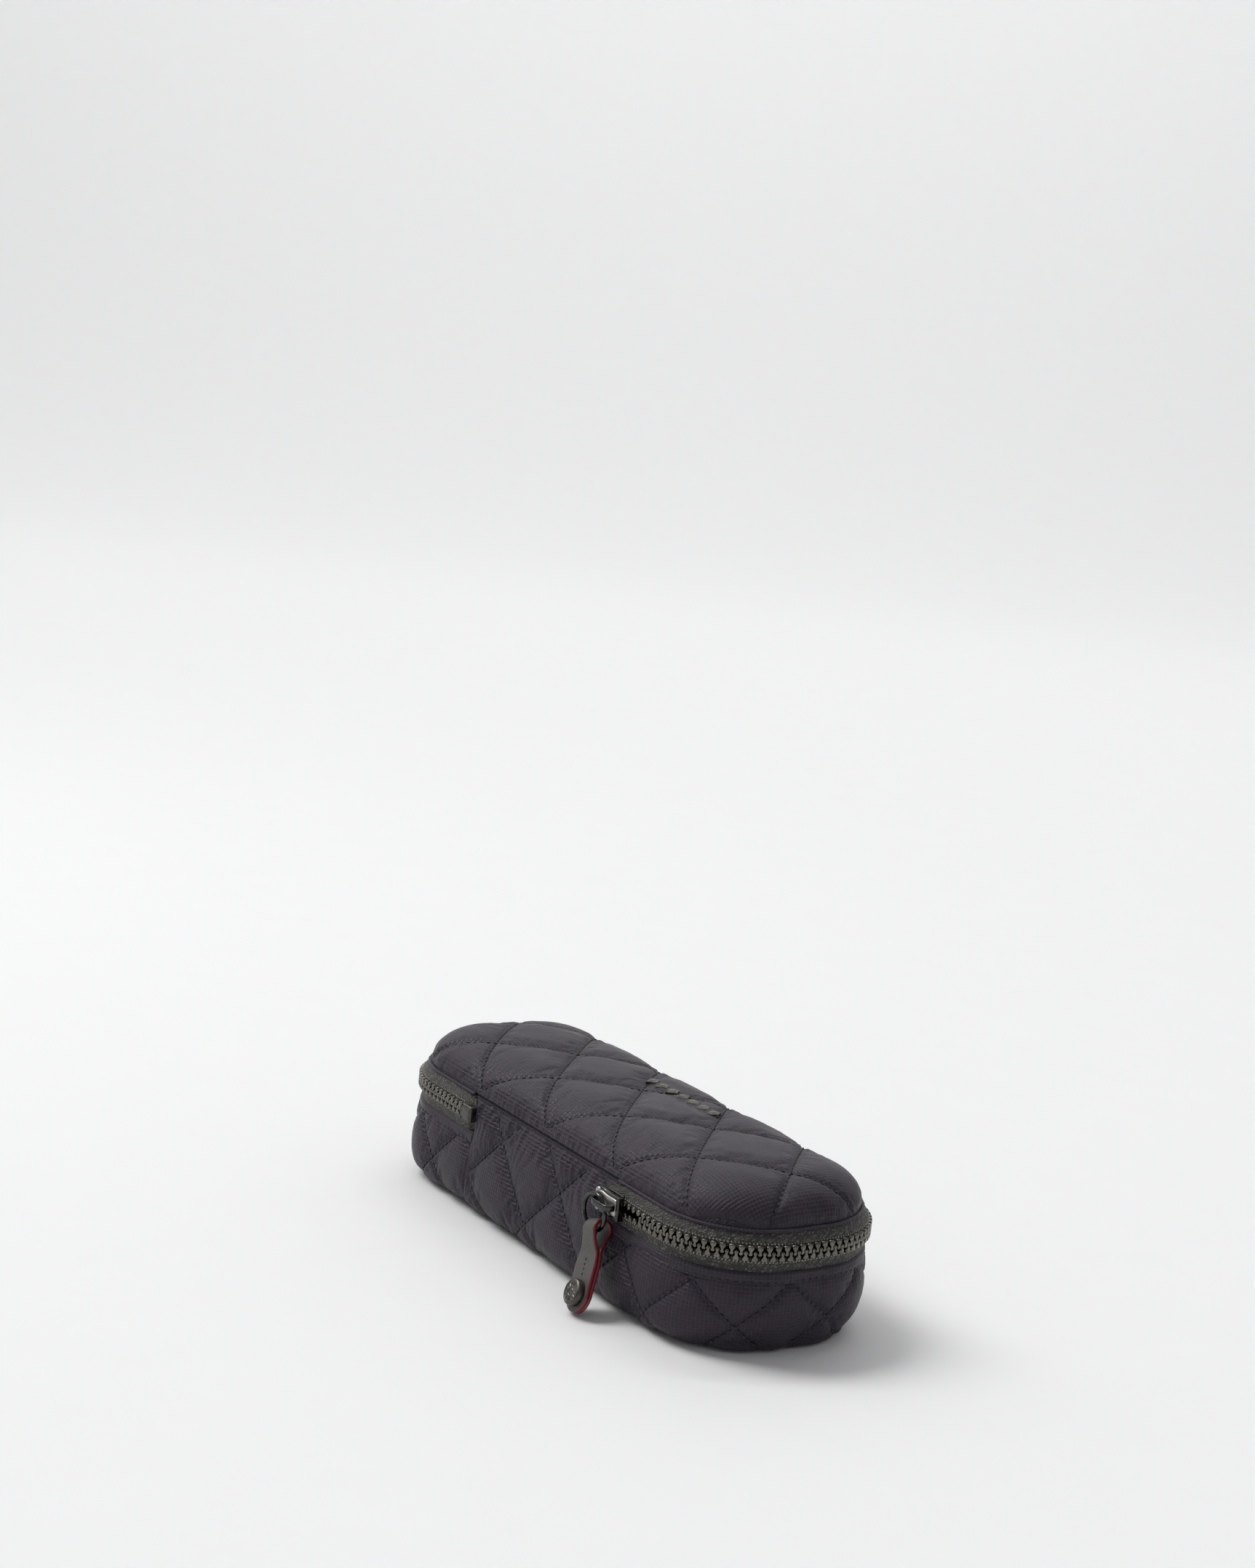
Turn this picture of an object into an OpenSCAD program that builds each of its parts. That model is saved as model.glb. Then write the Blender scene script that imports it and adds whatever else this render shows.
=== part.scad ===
// Quilted zip-round jewellery case with a padded lid, a slider with a leather pull, and a fitted inside.
// Origin: middle of the base where it rests. +X along the case, +Y to the hinge side, +Z up.

/* [Case] */
// Overall length of the case at the zip
case_length = 190; // [150:1:260]
// Overall width of the case at the zip
case_width = 69; // [57:1:110]
// Radius of the four upright corners at the zip
corner_radius = 29; // [20:1:31]
// Height of the base wall, up to the lower tape
wall_height = 26; // [20:0.5:45]
// Height of the lid's crown above the upper seam
lid_rise = 11.6; // [8:0.1:18]
// Length of the hinge panel, where the zip stops
hinge_length = 76; // [50:1:90]

/* [Padding and lining] */
// Padding between the outer fabric and the lining of the wall, at its top
wall_pad = 3.6; // [2.5:0.1:5]
// How far the wall bulges past its own top
wall_bulge = 2.6; // [0:0.1:3]
// Quilted bottom panel
bottom_thick = 3.6; // [2:0.1:6]
// Stiffening board under the floor lining
board_thick = 1.2; // [0.8:0.1:3]
// Quilted lid panel
lid_panel_thick = 2.6; // [2:0.1:4]
// Foam under the lid panel
lid_foam_thick = 2; // [1:0.1:4]
// Lining cloth
lining_thick = 0.8; // [0.6:0.1:1.5]

/* [Zip] */
// Width of the closed chain, both rows of teeth together
chain_width = 4.4; // [3.6:0.1:6]
// Thickness of the chain, front to back
chain_thick = 2.4; // [2:0.1:3.4]
// Gap between the two rows of teeth
chain_gap = 0.3; // [0.2:0.05:0.5]
// Thickness of the woven tape
tape_thick = 0.6; // [0.4:0.05:0.9]
// Tape that shows between the wall and the teeth
lower_tape_height = 3.4; // [2:0.1:8]
// Tape that shows between the teeth and the lid
upper_tape_height = 3.2; // [2.6:0.1:8]
// How far the lid's seam is set in from the chain
seam_inset = 2.4; // [1.5:0.1:4]
// Length of the slider
slider_length = 13; // [11:0.5:16]
// Height of the slider's outer plate
slider_height = 8; // [7.4:0.1:10]
// Thickness of the slider's plates
plate_thick = 1.2; // [0.9:0.1:1.6]
// Room between the slider and the chain
slider_clearance = 0.3; // [0.2:0.05:0.5]

/* [Pull] */
// Middle radius of the split ring
ring_radius = 5.5; // [5.3:0.1:7]
// Radius of the ring's wire
wire_radius = 0.65; // [0.5:0.05:0.7]
// Leather tab, from the wire to its tip
tab_reach = 24.4; // [22:0.1:40]
// Width of the tab at its round end
tab_width = 10.5; // [8.5:0.1:14]
// Width of the tab where it folds over the ring
tab_fold_width = 6.2; // [5:0.1:6.5]
// Thickness of one leaf of the leather
leather_thick = 1.15; // [0.9:0.05:1.3]
// Diameter of the rivet's cap
rivet_diameter = 8; // [6:0.1:9]

/* [Inside] */
// Thickness of a padded divider
divider_thick = 3; // [2:0.1:5]
// Height of the dividers above the floor
divider_height = 19; // [12:0.5:30]
// Place of the divider on the slider's side, from the middle
left_divider_x = 32; // [26:1:45]
// Place of the divider on the other side, from the middle
right_divider_x = 22; // [22:1:40]
// Diameter of a ring roll
roll_diameter = 17; // [12:0.5:20]
// Width of the side pocket
pocket_width = 40; // [24:1:42]
// Height of the side pocket
pocket_height = 17; // [12:0.5:18]

/* [Hidden] */
$fn = 96;

// Colours
nylon = [0.16, 0.14, 0.18];
lining_cloth = [0.45, 0.13, 0.17];
tape_cloth = [0.17, 0.16, 0.13];
gunmetal = [0.33, 0.32, 0.31];
leather = [0.33, 0.31, 0.28];

// The outline is a rounded rectangle: four corner axes at (+-half_x, +-half_y).
// A narrow case takes a smaller corner, so that its short ends keep a straight stretch.
least_straight = 1;
chain_r = min(corner_radius, case_width / 2 - least_straight);
half_x = case_length / 2 - chain_r;
half_y = case_width / 2 - chain_r;
hinge_half = hinge_length / 2;

// Heights
chain_low = wall_height + lower_tape_height;
chain_high = chain_low + chain_width;
chain_z = (chain_low + chain_high) / 2;
seam_z = chain_high + upper_tape_height;
seam_gap = 0.3;
row_height = (chain_width - chain_gap) / 2;
floor_z = bottom_thick + board_thick + lining_thick;
lid_z = seam_z + seam_gap;
crown_z = lid_z + lid_rise;

// Wall
wall_top_r = chain_r - 0.6;
wall_inner_r = wall_top_r - wall_pad;
binding_thick = 0.5;
binding_height = 2;
welt_height = 0.5;
welt_inset = 0.4;
wall_top = wall_height - binding_thick - 0.1;
room_r = wall_inner_r - lining_thick;
room_half_y = half_y + room_r;
room_half_x = half_x + room_r;
// Outer face of the wall from its foot to its widest part, shared by the wall and the hinge panel
wall_foot = [[wall_inner_r, bottom_thick], [wall_inner_r - 0.4, 0.7], [wall_top_r - 1.4, 1],
    [wall_top_r + 0.55 * wall_bulge, 3], [wall_top_r + wall_bulge, 6.5], [wall_top_r + wall_bulge, 10]];

// Lid
lid_r = chain_r - seam_inset;
lid_inner_r = lid_r - lid_panel_thick - lid_foam_thick - lining_thick;

// Tape grooves and the slider's place
groove = 1;
free_gap = 0.5;
box_length = 6;
box_thick = 3.6;
box_lip = 0.4;
box_room = 0.4;
stop_length = 1.5;
stop_room = 0.3;
slider_x = -(hinge_half + slider_length / 2);
post_thick = 1.2;
post_zone = 22;
slider_in_r = chain_r - chain_thick / 2 - slider_clearance;
slider_out_r = chain_r + chain_thick / 2 + slider_clearance;
plate_face_r = slider_out_r + plate_thick + 0.4;
bridge_width = 1.8;
bridge_thick = 1.1;
bridge_half = 4.9;
bridge_gap = 2 * wire_radius + 1.1;
ring_r = plate_face_r + bridge_gap / 2;
ring_y = half_y + ring_r;
ring_drop = 3.8;
ring_side = sqrt(ring_radius * ring_radius - ring_drop * ring_drop);
ring_x = slider_x + ring_side;
ring_z = chain_z - ring_drop;

// The tab hangs from the ring, turned a little from its lowest point. It leans out until its tip clears the floor.
tab_turn = 18;
wire_x = ring_x - ring_radius * sin(tab_turn);
wire_z = ring_z - ring_radius * cos(tab_turn);
tip_gap = 1.2;
lean_cos = min(cos(8), (wire_z - tip_gap) / (tab_reach * cos(tab_turn)));
tab_lean = acos(lean_cos);
tunnel_r = 2.2;
tunnel_y = -0.5;
tunnel_z = 0.4;
loop_foot = 6.5;
leaf_y = -leather_thick - 0.5;
tab_front = leaf_y + 2 * leather_thick;
rivet_z = -tab_reach + tab_width / 2 + 0.3;
post_r = 1.2;

// Inside pieces
roll_gap = 1.2;
roll_y = roll_diameter / 2 + roll_gap / 2;
pocket_depth = 2.6;
flap_room = 3.4;
pocket_rise = min(pocket_height, wall_height - flap_room - floor_z);
pocket_cloth = 1;
pocket_x = -(left_divider_x - right_divider_x) / 2;
pocket_face_y = -room_half_y + pocket_depth + pocket_cloth;
flap_thick = 1;
flap_gap = 0.35;
flap_z = floor_z + pocket_rise + flap_thick + 0.4;
flap_drop = 10;
flap_inset = 4;
flap_hinge_y = -room_half_y + 0.8;
stud_z = flap_z - flap_drop / 2 - 1.5;
pocket_mouth_y = -7;
elastic_width = 3;

// Superellipse arch from (0, rise) down to (reach, 0): the lid's cross-section from its middle to its edge
arch_steps = 10;
function arch(reach, rise) = [for (i = [0 : arch_steps]) let (a = 90 * i / arch_steps)
    [reach * pow(sin(a), 0.74), lid_z + rise * pow(cos(a), 0.95)]];
function reversed(points) = [for (i = [len(points) - 1 : -1 : 0]) points[i]];

// Carries a section round the outline. The section's X is the distance from a corner axis, its Y the height.
// A gap leaves the hinge's part of the rear side open.
module round_case(gap = 0) {
    for (turn = [0, 1, 2, 3])
        translate([(turn == 0 || turn == 3 ? 1 : -1) * half_x, (turn < 2 ? 1 : -1) * half_y, 0])
            rotate([0, 0, 90 * turn]) rotate_extrude(angle = 90) children();
    if (gap == 0)
        long_side(-half_x, half_x) children();
    else {
        long_side(-half_x, -gap) children();
        long_side(gap, half_x) children();
    }
    rotate([0, 0, 180]) long_side(-half_x, half_x) children();
    for (turn = [0, 180])
        rotate([0, 0, turn]) translate([half_x, half_y, 0]) rotate([90, 0, 0])
            linear_extrude(2 * half_y) children();
}

// A section carried straight along the rear side, from one X to another
module long_side(from_x, to_x) {
    translate([from_x, half_y, 0]) rotate([90, 0, 90]) linear_extrude(to_x - from_x) children();
}

// A flat layer of the outline, out to a given distance from the corner axes
module layer(reach, low, high) {
    translate([0, 0, low]) linear_extrude(high - low) {
        square([2 * half_x, 2 * (half_y + reach)], center = true);
        square([2 * (half_x + reach), 2 * half_y], center = true);
        for (x = [-half_x, half_x], y = [-half_y, half_y]) translate([x, y]) circle(reach);
    }
}

// One layer of the lid: an arch less the arch inside it, with the flat middle filled in
module lid_layer(outer, thick) {
    rise = crown_z - lid_z - (lid_r - outer);
    round_case() polygon(concat(arch(outer, rise), reversed(arch(outer - thick, rise - thick))));
    translate([-half_x, -half_y, lid_z + rise - thick]) cube([2 * half_x, 2 * half_y, thick]);
}

module wall_section() {
    polygon(concat(wall_foot, [[wall_top_r + 0.75 * wall_bulge, 0.6 * wall_height],
        [wall_top_r + 0.35 * wall_bulge, 0.8 * wall_height], [wall_top_r, wall_top - binding_height],
        [wall_top_r, wall_top], [wall_inner_r, wall_top]]));
}

module bottom_panel() {
    color(nylon) {
        layer(wall_inner_r - 2.4, 0, 0.8);
        layer(wall_inner_r - 0.4, 0.8, bottom_thick);
    }
}

module side_wall() {
    color(nylon) round_case(hinge_half) wall_section();
}

module hinge_panel() {
    color(nylon) long_side(-hinge_half, hinge_half)
        polygon(concat(wall_foot, [[wall_top_r + 0.8 * wall_bulge, 0.6 * wall_height],
            [wall_top_r + 0.5, wall_height], [wall_top_r - 0.3, chain_z],
            [lid_r, seam_z - welt_height], [lid_r - wall_pad, seam_z - welt_height],
            [wall_inner_r, chain_z]]));
}

// Folded strip over the top of the wall, stitched through
module wall_binding() {
    color(nylon) round_case(hinge_half)
        polygon([[wall_top_r, wall_top - binding_height],
            [wall_top_r + binding_thick, wall_top - binding_height],
            [wall_top_r + binding_thick, wall_height - 0.1], [wall_inner_r, wall_height - 0.1],
            [wall_inner_r, wall_top], [wall_top_r, wall_top]]);
}

module bottom_board() {
    color("dimgray") layer(wall_inner_r - 0.3, bottom_thick, bottom_thick + board_thick);
}

module floor_lining() {
    color(lining_cloth) layer(room_r - 0.1, bottom_thick + board_thick, floor_z);
}

module side_lining() {
    color(lining_cloth) {
        round_case()
            polygon([[room_r, bottom_thick + board_thick], [wall_inner_r, bottom_thick + board_thick],
                [wall_inner_r, wall_height - 0.1], [room_r, wall_height - 0.1]]);
        long_side(-hinge_half, hinge_half)
            polygon([[room_r, wall_height - 0.1], [wall_inner_r, wall_height - 0.1],
                [wall_inner_r, chain_z], [room_r, chain_z]]);
    }
}

module lower_tape() {
    color(tape_cloth) round_case(hinge_half + free_gap)
        polygon([[wall_top_r - tape_thick / 2, wall_height - 0.1],
            [wall_top_r + tape_thick / 2, wall_height - 0.1],
            [chain_r + tape_thick / 2, chain_low], [chain_r + tape_thick / 2, chain_low + groove],
            [chain_r - tape_thick / 2, chain_low + groove], [chain_r - tape_thick / 2, chain_low]]);
}

module upper_tape() {
    color(tape_cloth) difference() {
        round_case(hinge_half + free_gap)
            polygon([[chain_r - tape_thick / 2, chain_high - groove],
                [chain_r + tape_thick / 2, chain_high - groove], [chain_r + tape_thick / 2, chain_high],
                [lid_r + tape_thick / 2, lid_z], [lid_r - tape_thick / 2, lid_z],
                [chain_r - tape_thick / 2, chain_high]]);
        zip_box_space(box_room);
    }
}

// One row of teeth, as a rail on the tape's edge. near is the side that meets the other row.
module tooth_row(near, far) {
    half = chain_thick / 2;
    slot = tape_thick / 2;
    side = near > far ? -1 : 1;
    polygon([[chain_r - half, near], [chain_r + half, near], [chain_r + half, far],
        [chain_r + slot, far], [chain_r + slot, far - side * groove],
        [chain_r - slot, far - side * groove], [chain_r - slot, far], [chain_r - half, far]]);
}

// Room for the slider's post between the rows, along the slider's travel
module post_way() {
    height = post_thick + 2 * slider_clearance;
    translate([-hinge_half - post_zone, half_y + chain_r - chain_thick, chain_z - height / 2])
        cube([post_zone + free_gap, 2 * chain_thick, height]);
}

// The zip box, or with a grown margin the room that it needs in the chain and the tape
module zip_box_space(grow = 0) {
    translate([hinge_half + free_gap - grow, half_y + chain_r - box_thick / 2 - grow,
        chain_low - box_lip - grow])
        cube([box_length + 2 * grow, box_thick + 2 * grow, chain_width + 2 * (box_lip + grow)]);
}

module lower_teeth() {
    color(gunmetal) difference() {
        round_case(hinge_half + free_gap) tooth_row(chain_low + row_height, chain_low);
        post_way();
        zip_box_space(box_room);
        stop_space(stop_room);
    }
}

module upper_teeth() {
    color(gunmetal) difference() {
        round_case(hinge_half + free_gap) tooth_row(chain_high - row_height, chain_high);
        post_way();
        zip_box_space(box_room);
        stop_space(stop_room);
    }
}

// The length of the chain that a top stop takes up, past the end of the tape
module stop_space(grow = 0) {
    translate([-hinge_half - free_gap - stop_length - 0.1 - grow, half_y + chain_r - chain_thick,
        chain_low - 1])
        cube([stop_length + 1.1 + grow, 2 * chain_thick, chain_width + 2]);
}

module lower_top_stop() {
    color(gunmetal) intersection() {
        long_side(-hinge_half - free_gap - stop_length, -hinge_half - free_gap)
            tooth_row(chain_low + row_height - 0.6, chain_low);
        stop_space();
    }
}

module upper_top_stop() {
    color(gunmetal) intersection() {
        long_side(-hinge_half - free_gap - stop_length, -hinge_half - free_gap)
            tooth_row(chain_high - row_height + 0.6, chain_high);
        stop_space();
    }
}

// Square metal box that the far end of the chain runs into
module zip_box() {
    color(gunmetal) difference() {
        zip_box_space();
        translate([0, half_y + chain_r - tape_thick / 2 - 0.05, chain_low - 1])
            cube([hinge_half + 10, tape_thick + 0.1, groove + 1.05]);
    }
}

// Slider: an outer plate, a half plate inside the lower tape, and the post between the rows
module slider() {
    half_h = slider_height / 2;
    inner_length = slider_length - 2;
    flange = plate_thick * 0.8;
    tape_face = tape_thick / 2 + slider_clearance + 0.05;
    color(gunmetal) translate([slider_x, half_y, chain_z]) {
        difference() {
            translate([-slider_length / 2, slider_out_r, -half_h])
                cube([slider_length, plate_face_r - slider_out_r, slider_height]);
            // waist on the ring's side
            for (z = [-half_h, half_h])
                translate([slider_length / 2 - 4.2, plate_face_r - 2, z * 1.12]) rotate([-90, 0, 0])
                    cylinder(h = 4, r = 1.3);
        }
        // flanges over the tape
        for (z = [-half_h, half_h - flange])
            translate([-slider_length / 2, chain_r + tape_face, z])
                cube([slider_length, slider_out_r - chain_r - tape_face, flange]);
        // half plate inside
        translate([-inner_length / 2, slider_in_r - plate_thick, -half_h])
            cube([inner_length, plate_thick, half_h - 0.3]);
        translate([-inner_length / 2, slider_in_r, -half_h])
            cube([inner_length, chain_r - tape_face - slider_in_r, flange]);
        // post
        translate([inner_length / 2 - 3.4, slider_in_r - plate_thick, -post_thick / 2])
            cube([2.4, slider_out_r - slider_in_r + plate_thick + 0.4, post_thick]);
        // bridge
        for (x = [-bridge_half, bridge_half - bridge_thick])
            translate([x, plate_face_r - 0.2, -bridge_width / 2])
                cube([bridge_thick, bridge_gap + 0.3, bridge_width]);
        translate([-bridge_half, plate_face_r + bridge_gap, -bridge_width / 2])
            cube([2 * bridge_half, bridge_thick, bridge_width]);
    }
}

module pull_ring() {
    color(gunmetal) translate([ring_x, ring_y, ring_z]) rotate([90, 0, 0])
        rotate_extrude() translate([ring_radius, 0]) circle(wire_radius, $fn = 32);
}

// The pull's own frame: origin on the ring's wire, -Z along the tab, +Y its front.

module place_pull() {
    translate([wire_x, ring_y, wire_z]) rotate([tab_lean, tab_turn, 0]) children();
}

module tab_outline() {
    end_z = -tab_reach + tab_width / 2;
    polygon([[-tab_fold_width / 2, 5], [-tab_fold_width / 2, -2], [-tab_width / 2, -9],
        [-tab_width / 2, end_z], [tab_width / 2, end_z], [tab_width / 2, -9],
        [tab_fold_width / 2, -2], [tab_fold_width / 2, 5]]);
    translate([0, end_z]) circle(tab_width / 2);
}

// Points along an arc in the plane, from one angle to another
function arc(x, y, r, from, to, steps) = [for (i = [0 : steps]) let (a = from + (to - from) * i / steps)
    [x + r * cos(a), y + r * sin(a)]];

// Side view of the tab: two leaves that open into a loop round the wire
module tab_side() {
    difference() {
        polygon(concat([[leaf_y, -tab_reach], [leaf_y, -loop_foot]],
            arc(tunnel_y, tunnel_z, tunnel_r + leather_thick, 205, -25, 24),
            [[tab_front, -loop_foot], [tab_front, -tab_reach]]));
        translate([tunnel_y, tunnel_z]) circle(tunnel_r);
    }
}

module pull_leather() {
    color(leather) place_pull() difference() {
        intersection() {
            translate([-tab_width, 0, 0]) rotate([90, 0, 90]) linear_extrude(2 * tab_width) tab_side();
            translate([0, 10, 0]) rotate([90, 0, 0]) linear_extrude(20) tab_outline();
        }
        translate([0, leaf_y - 1, rivet_z]) rotate([-90, 0, 0])
            cylinder(h = 2 * leather_thick + 2, r = post_r + 0.05);
    }
}

// One line of thread down the middle of the tab, on both faces
module pull_stitching() {
    stitch = 1.15;
    pitch = 1.5;
    count = floor((tab_reach - tab_width - 7.5) / pitch);
    color("black") place_pull() for (i = [0 : count - 1], face = [leaf_y - 0.25, tab_front])
        translate([-0.2, face, -8 - i * pitch - stitch]) cube([0.4, 0.25, stitch]);
}

module rivet_cap() {
    rim = rivet_diameter / 2;
    color(gunmetal) place_pull() translate([0, tab_front, rivet_z]) rotate([-90, 0, 0]) {
        rotate_extrude()
            polygon([[0, 0], [rim, 0], [rim, 1.7], [rim - 0.5, 2.3], [rim - 1.2, 2.5], [0, 2.5]]);
        translate([0, 0, -2 * leather_thick]) cylinder(h = 2 * leather_thick + 0.1, r = post_r);
    }
}

module rivet_back() {
    color(gunmetal) place_pull() translate([0, leaf_y, rivet_z]) rotate([90, 0, 0])
        rotate_extrude() polygon([[0, 0], [3, 0], [3, 0.5], [2.4, 0.9], [0, 0.9]]);
}

module lid_panel() {
    color(nylon) lid_layer(lid_r, lid_panel_thick);
}

module lid_foam() {
    color("silver") lid_layer(lid_r - lid_panel_thick, lid_foam_thick);
}

module lid_lining() {
    color(lining_cloth) lid_layer(lid_r - lid_panel_thick - lid_foam_thick, lining_thick);
}

// Narrow piping on the tape, just under the lid's seam, all round
module lid_piping() {
    face = lid_r + tape_thick / 2;
    slope = (chain_r - lid_r) / (lid_z - chain_high);
    color(nylon) round_case(hinge_half + free_gap)
        polygon([[face + 0.9 * slope, lid_z - 0.9], [face + 0.9 * slope + 0.4, lid_z - 0.7],
            [face + 0.8, lid_z], [face, lid_z]]);
}

// Welted strip along the hinge seam
module hinge_welt() {
    color(nylon) long_side(-hinge_half, hinge_half)
        polygon([[lid_r - wall_pad, seam_z - welt_height], [lid_r - welt_inset, seam_z - welt_height],
            [lid_r - welt_inset, seam_z], [lid_r - wall_pad, seam_z]]);
}

// A row of plain lozenge studs near the front edge of the lid
module emblem_studs() {
    count = 7;
    pitch = 5.6;
    stud_wide = 4.2;
    stud_long = 5.8;
    mid_x = -10;
    mid_y = -half_y - 5.5;
    color(gunmetal) for (i = [0 : count - 1])
        translate([mid_x + (i - (count - 1) / 2) * pitch, mid_y, crown_z]) linear_extrude(1)
            polygon([[-stud_wide / 2, 0], [0, -stud_long / 2], [stud_wide / 2, 0], [0, stud_long / 2]]);
}

// A strip of a layer under the lid lining, between two distances to the front of the middle
module under_lid(thick, from_y, to_y) {
    color(lining_cloth) intersection() {
        lid_layer(lid_inner_r, thick);
        translate([-half_x, -half_y + from_y, lid_z]) cube([2 * half_x, to_y - from_y, lid_rise]);
    }
}

// Slip pocket sewn under the lid lining
module lid_pocket() {
    under_lid(1, pocket_mouth_y, 2 * half_y + 4);
}

// Elastic hem at the mouth of the slip pocket
module lid_pocket_elastic() {
    under_lid(1.8, pocket_mouth_y - elastic_width, pocket_mouth_y);
}

// A divider across the case, its ends cut to the lining
module cross_divider(x) {
    color(lining_cloth) translate([x - divider_thick / 2, -room_half_y + 0.1, floor_z])
        cube([divider_thick, 2 * room_half_y - 0.2, divider_height]);
}

module cross_divider_left() {
    cross_divider(-left_divider_x);
}

module cross_divider_right() {
    cross_divider(right_divider_x);
}

// Splits the compartment under the slider into two
module long_divider() {
    color(lining_cloth) translate([-room_half_x + 0.2, -divider_thick / 2, floor_z])
        cube([room_half_x - left_divider_x - divider_thick / 2 - 0.3, divider_thick, divider_height]);
}

// A foam roll for rings, flat underneath
module ring_roll(side) {
    from_x = right_divider_x + divider_thick / 2 + 0.1;
    to_x = half_x + 7;
    color(lining_cloth) intersection() {
        translate([from_x, side * roll_y, floor_z + roll_diameter / 2 - 1.5]) rotate([0, 90, 0])
            cylinder(h = to_x - from_x, d = roll_diameter);
        translate([from_x - 1, -case_width / 2, floor_z])
            cube([to_x - from_x + 2, case_width, roll_diameter]);
    }
}

module ring_roll_front() {
    ring_roll(-1);
}

module ring_roll_rear() {
    ring_roll(1);
}

// Flat pocket on the front wall, sewn at its two ends and its foot
module side_pocket() {
    color(lining_cloth) difference() {
        translate([pocket_x - pocket_width / 2, -room_half_y, floor_z])
            cube([pocket_width, pocket_depth + pocket_cloth, pocket_rise]);
        translate([pocket_x - pocket_width / 2 + 1.5, -room_half_y - 1, floor_z + 1.5])
            cube([pocket_width - 3, pocket_depth + 1, pocket_rise]);
    }
}

module pocket_stud() {
    color(gunmetal) translate([pocket_x, pocket_face_y, stud_z]) rotate([-90, 0, 0])
        cylinder(h = 1, r = 1.4, $fn = 48);
}

// Flap over the pocket's mouth, sewn to the wall lining above it
module pocket_flap() {
    flap_y = pocket_face_y + flap_gap;
    width = pocket_width - 2 * flap_inset;
    color(leather) difference() {
        union() {
            translate([pocket_x - width / 2, flap_hinge_y, flap_z - flap_thick])
                cube([width, flap_y + flap_thick - flap_hinge_y, flap_thick]);
            translate([pocket_x - width / 2, flap_y, flap_z - flap_drop])
                cube([width, flap_thick, flap_drop]);
        }
        translate([pocket_x, flap_y - 1, stud_z]) rotate([-90, 0, 0]) cylinder(h = 4, r = 2.4, $fn = 48);
    }
}

module pocket_snap_cap() {
    color(gunmetal) translate([pocket_x, pocket_face_y + flap_gap + flap_thick, stud_z]) rotate([-90, 0, 0])
        rotate_extrude($fn = 48) polygon([[0, 0], [3.6, 0], [3.6, 0.5], [2.6, 1.1], [0, 1.3]]);
}

bottom_panel();
side_wall();
hinge_panel();
wall_binding();
bottom_board();
floor_lining();
side_lining();
lower_tape();
lower_teeth();
lower_top_stop();
zip_box();
hinge_welt();
cross_divider_left();
cross_divider_right();
long_divider();
ring_roll_front();
ring_roll_rear();
side_pocket();
pocket_stud();
lid_panel();
lid_foam();
lid_lining();
lid_piping();
upper_tape();
upper_teeth();
upper_top_stop();
emblem_studs();
lid_pocket();
lid_pocket_elastic();
pocket_flap();
pocket_snap_cap();
slider();
pull_ring();
pull_leather();
pull_stitching();
rivet_cap();
rivet_back();
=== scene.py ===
# A quilted zip-round jewellery case: lid, wall and hinge panel in padded ripstop nylon, moulded zip, leather pull, fitted inside.
import math
import bpy
import numpy as np
from mathutils import Matrix, Vector


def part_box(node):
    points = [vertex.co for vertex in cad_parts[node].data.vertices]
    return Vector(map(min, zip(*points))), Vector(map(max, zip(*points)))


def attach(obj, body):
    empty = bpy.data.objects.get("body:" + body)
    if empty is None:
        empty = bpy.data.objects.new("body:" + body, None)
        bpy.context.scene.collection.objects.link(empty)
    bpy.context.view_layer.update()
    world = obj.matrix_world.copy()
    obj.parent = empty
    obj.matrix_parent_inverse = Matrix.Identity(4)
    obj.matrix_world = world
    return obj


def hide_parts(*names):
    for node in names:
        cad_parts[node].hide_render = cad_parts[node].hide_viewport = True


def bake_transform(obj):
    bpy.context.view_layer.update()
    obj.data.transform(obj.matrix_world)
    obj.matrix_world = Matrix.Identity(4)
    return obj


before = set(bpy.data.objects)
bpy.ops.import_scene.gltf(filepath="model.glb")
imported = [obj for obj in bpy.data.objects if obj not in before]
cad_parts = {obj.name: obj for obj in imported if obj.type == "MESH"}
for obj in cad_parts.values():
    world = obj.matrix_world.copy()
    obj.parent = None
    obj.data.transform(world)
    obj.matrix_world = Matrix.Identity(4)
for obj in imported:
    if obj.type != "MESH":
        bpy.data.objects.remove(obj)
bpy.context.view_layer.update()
mm = 0.001

# The outline is a rounded rectangle. Its four corner axes stand at (+-cornerX, +-cornerY); zipRadius is the chain's reach from them.
caseShape = dict(cornerX=66.0, cornerY=5.5, zipRadius=29.0, hingeHalf=38.0)
cornerX, cornerY, hingeHalf = caseShape["cornerX"], caseShape["cornerY"], caseShape["hingeHalf"]
quarter = caseShape["zipRadius"] * math.pi / 2
knots = np.cumsum([0, cornerX, quarter, 2 * cornerY, quarter, 2 * cornerX, quarter, 2 * cornerY, quarter, cornerX])
knotX = cornerX * np.array([0, -1, -1, -1, -1, 1, 1, 1, 1, 0])
knotY = cornerY * np.array([1, 1, 1, -1, -1, -1, -1, 1, 1, 1])
knotTurn = np.radians([90, 90, 180, 180, 270, 270, 360, 360, 450, 450])
wholeWay = knots[-1]


def aroundCase(u, reach, z):
    # The point u millimetres round the outline from the middle of the hinge side: the axis there, plus reach outwards.
    u, reach, z = np.broadcast_arrays(np.asarray(u, float) % wholeWay, reach, z)
    turn = np.interp(u, knots, knotTurn)
    return np.stack([np.interp(u, knots, knotX) + reach * np.cos(turn), np.interp(u, knots, knotY) + reach * np.sin(turn), z], -1)


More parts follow.
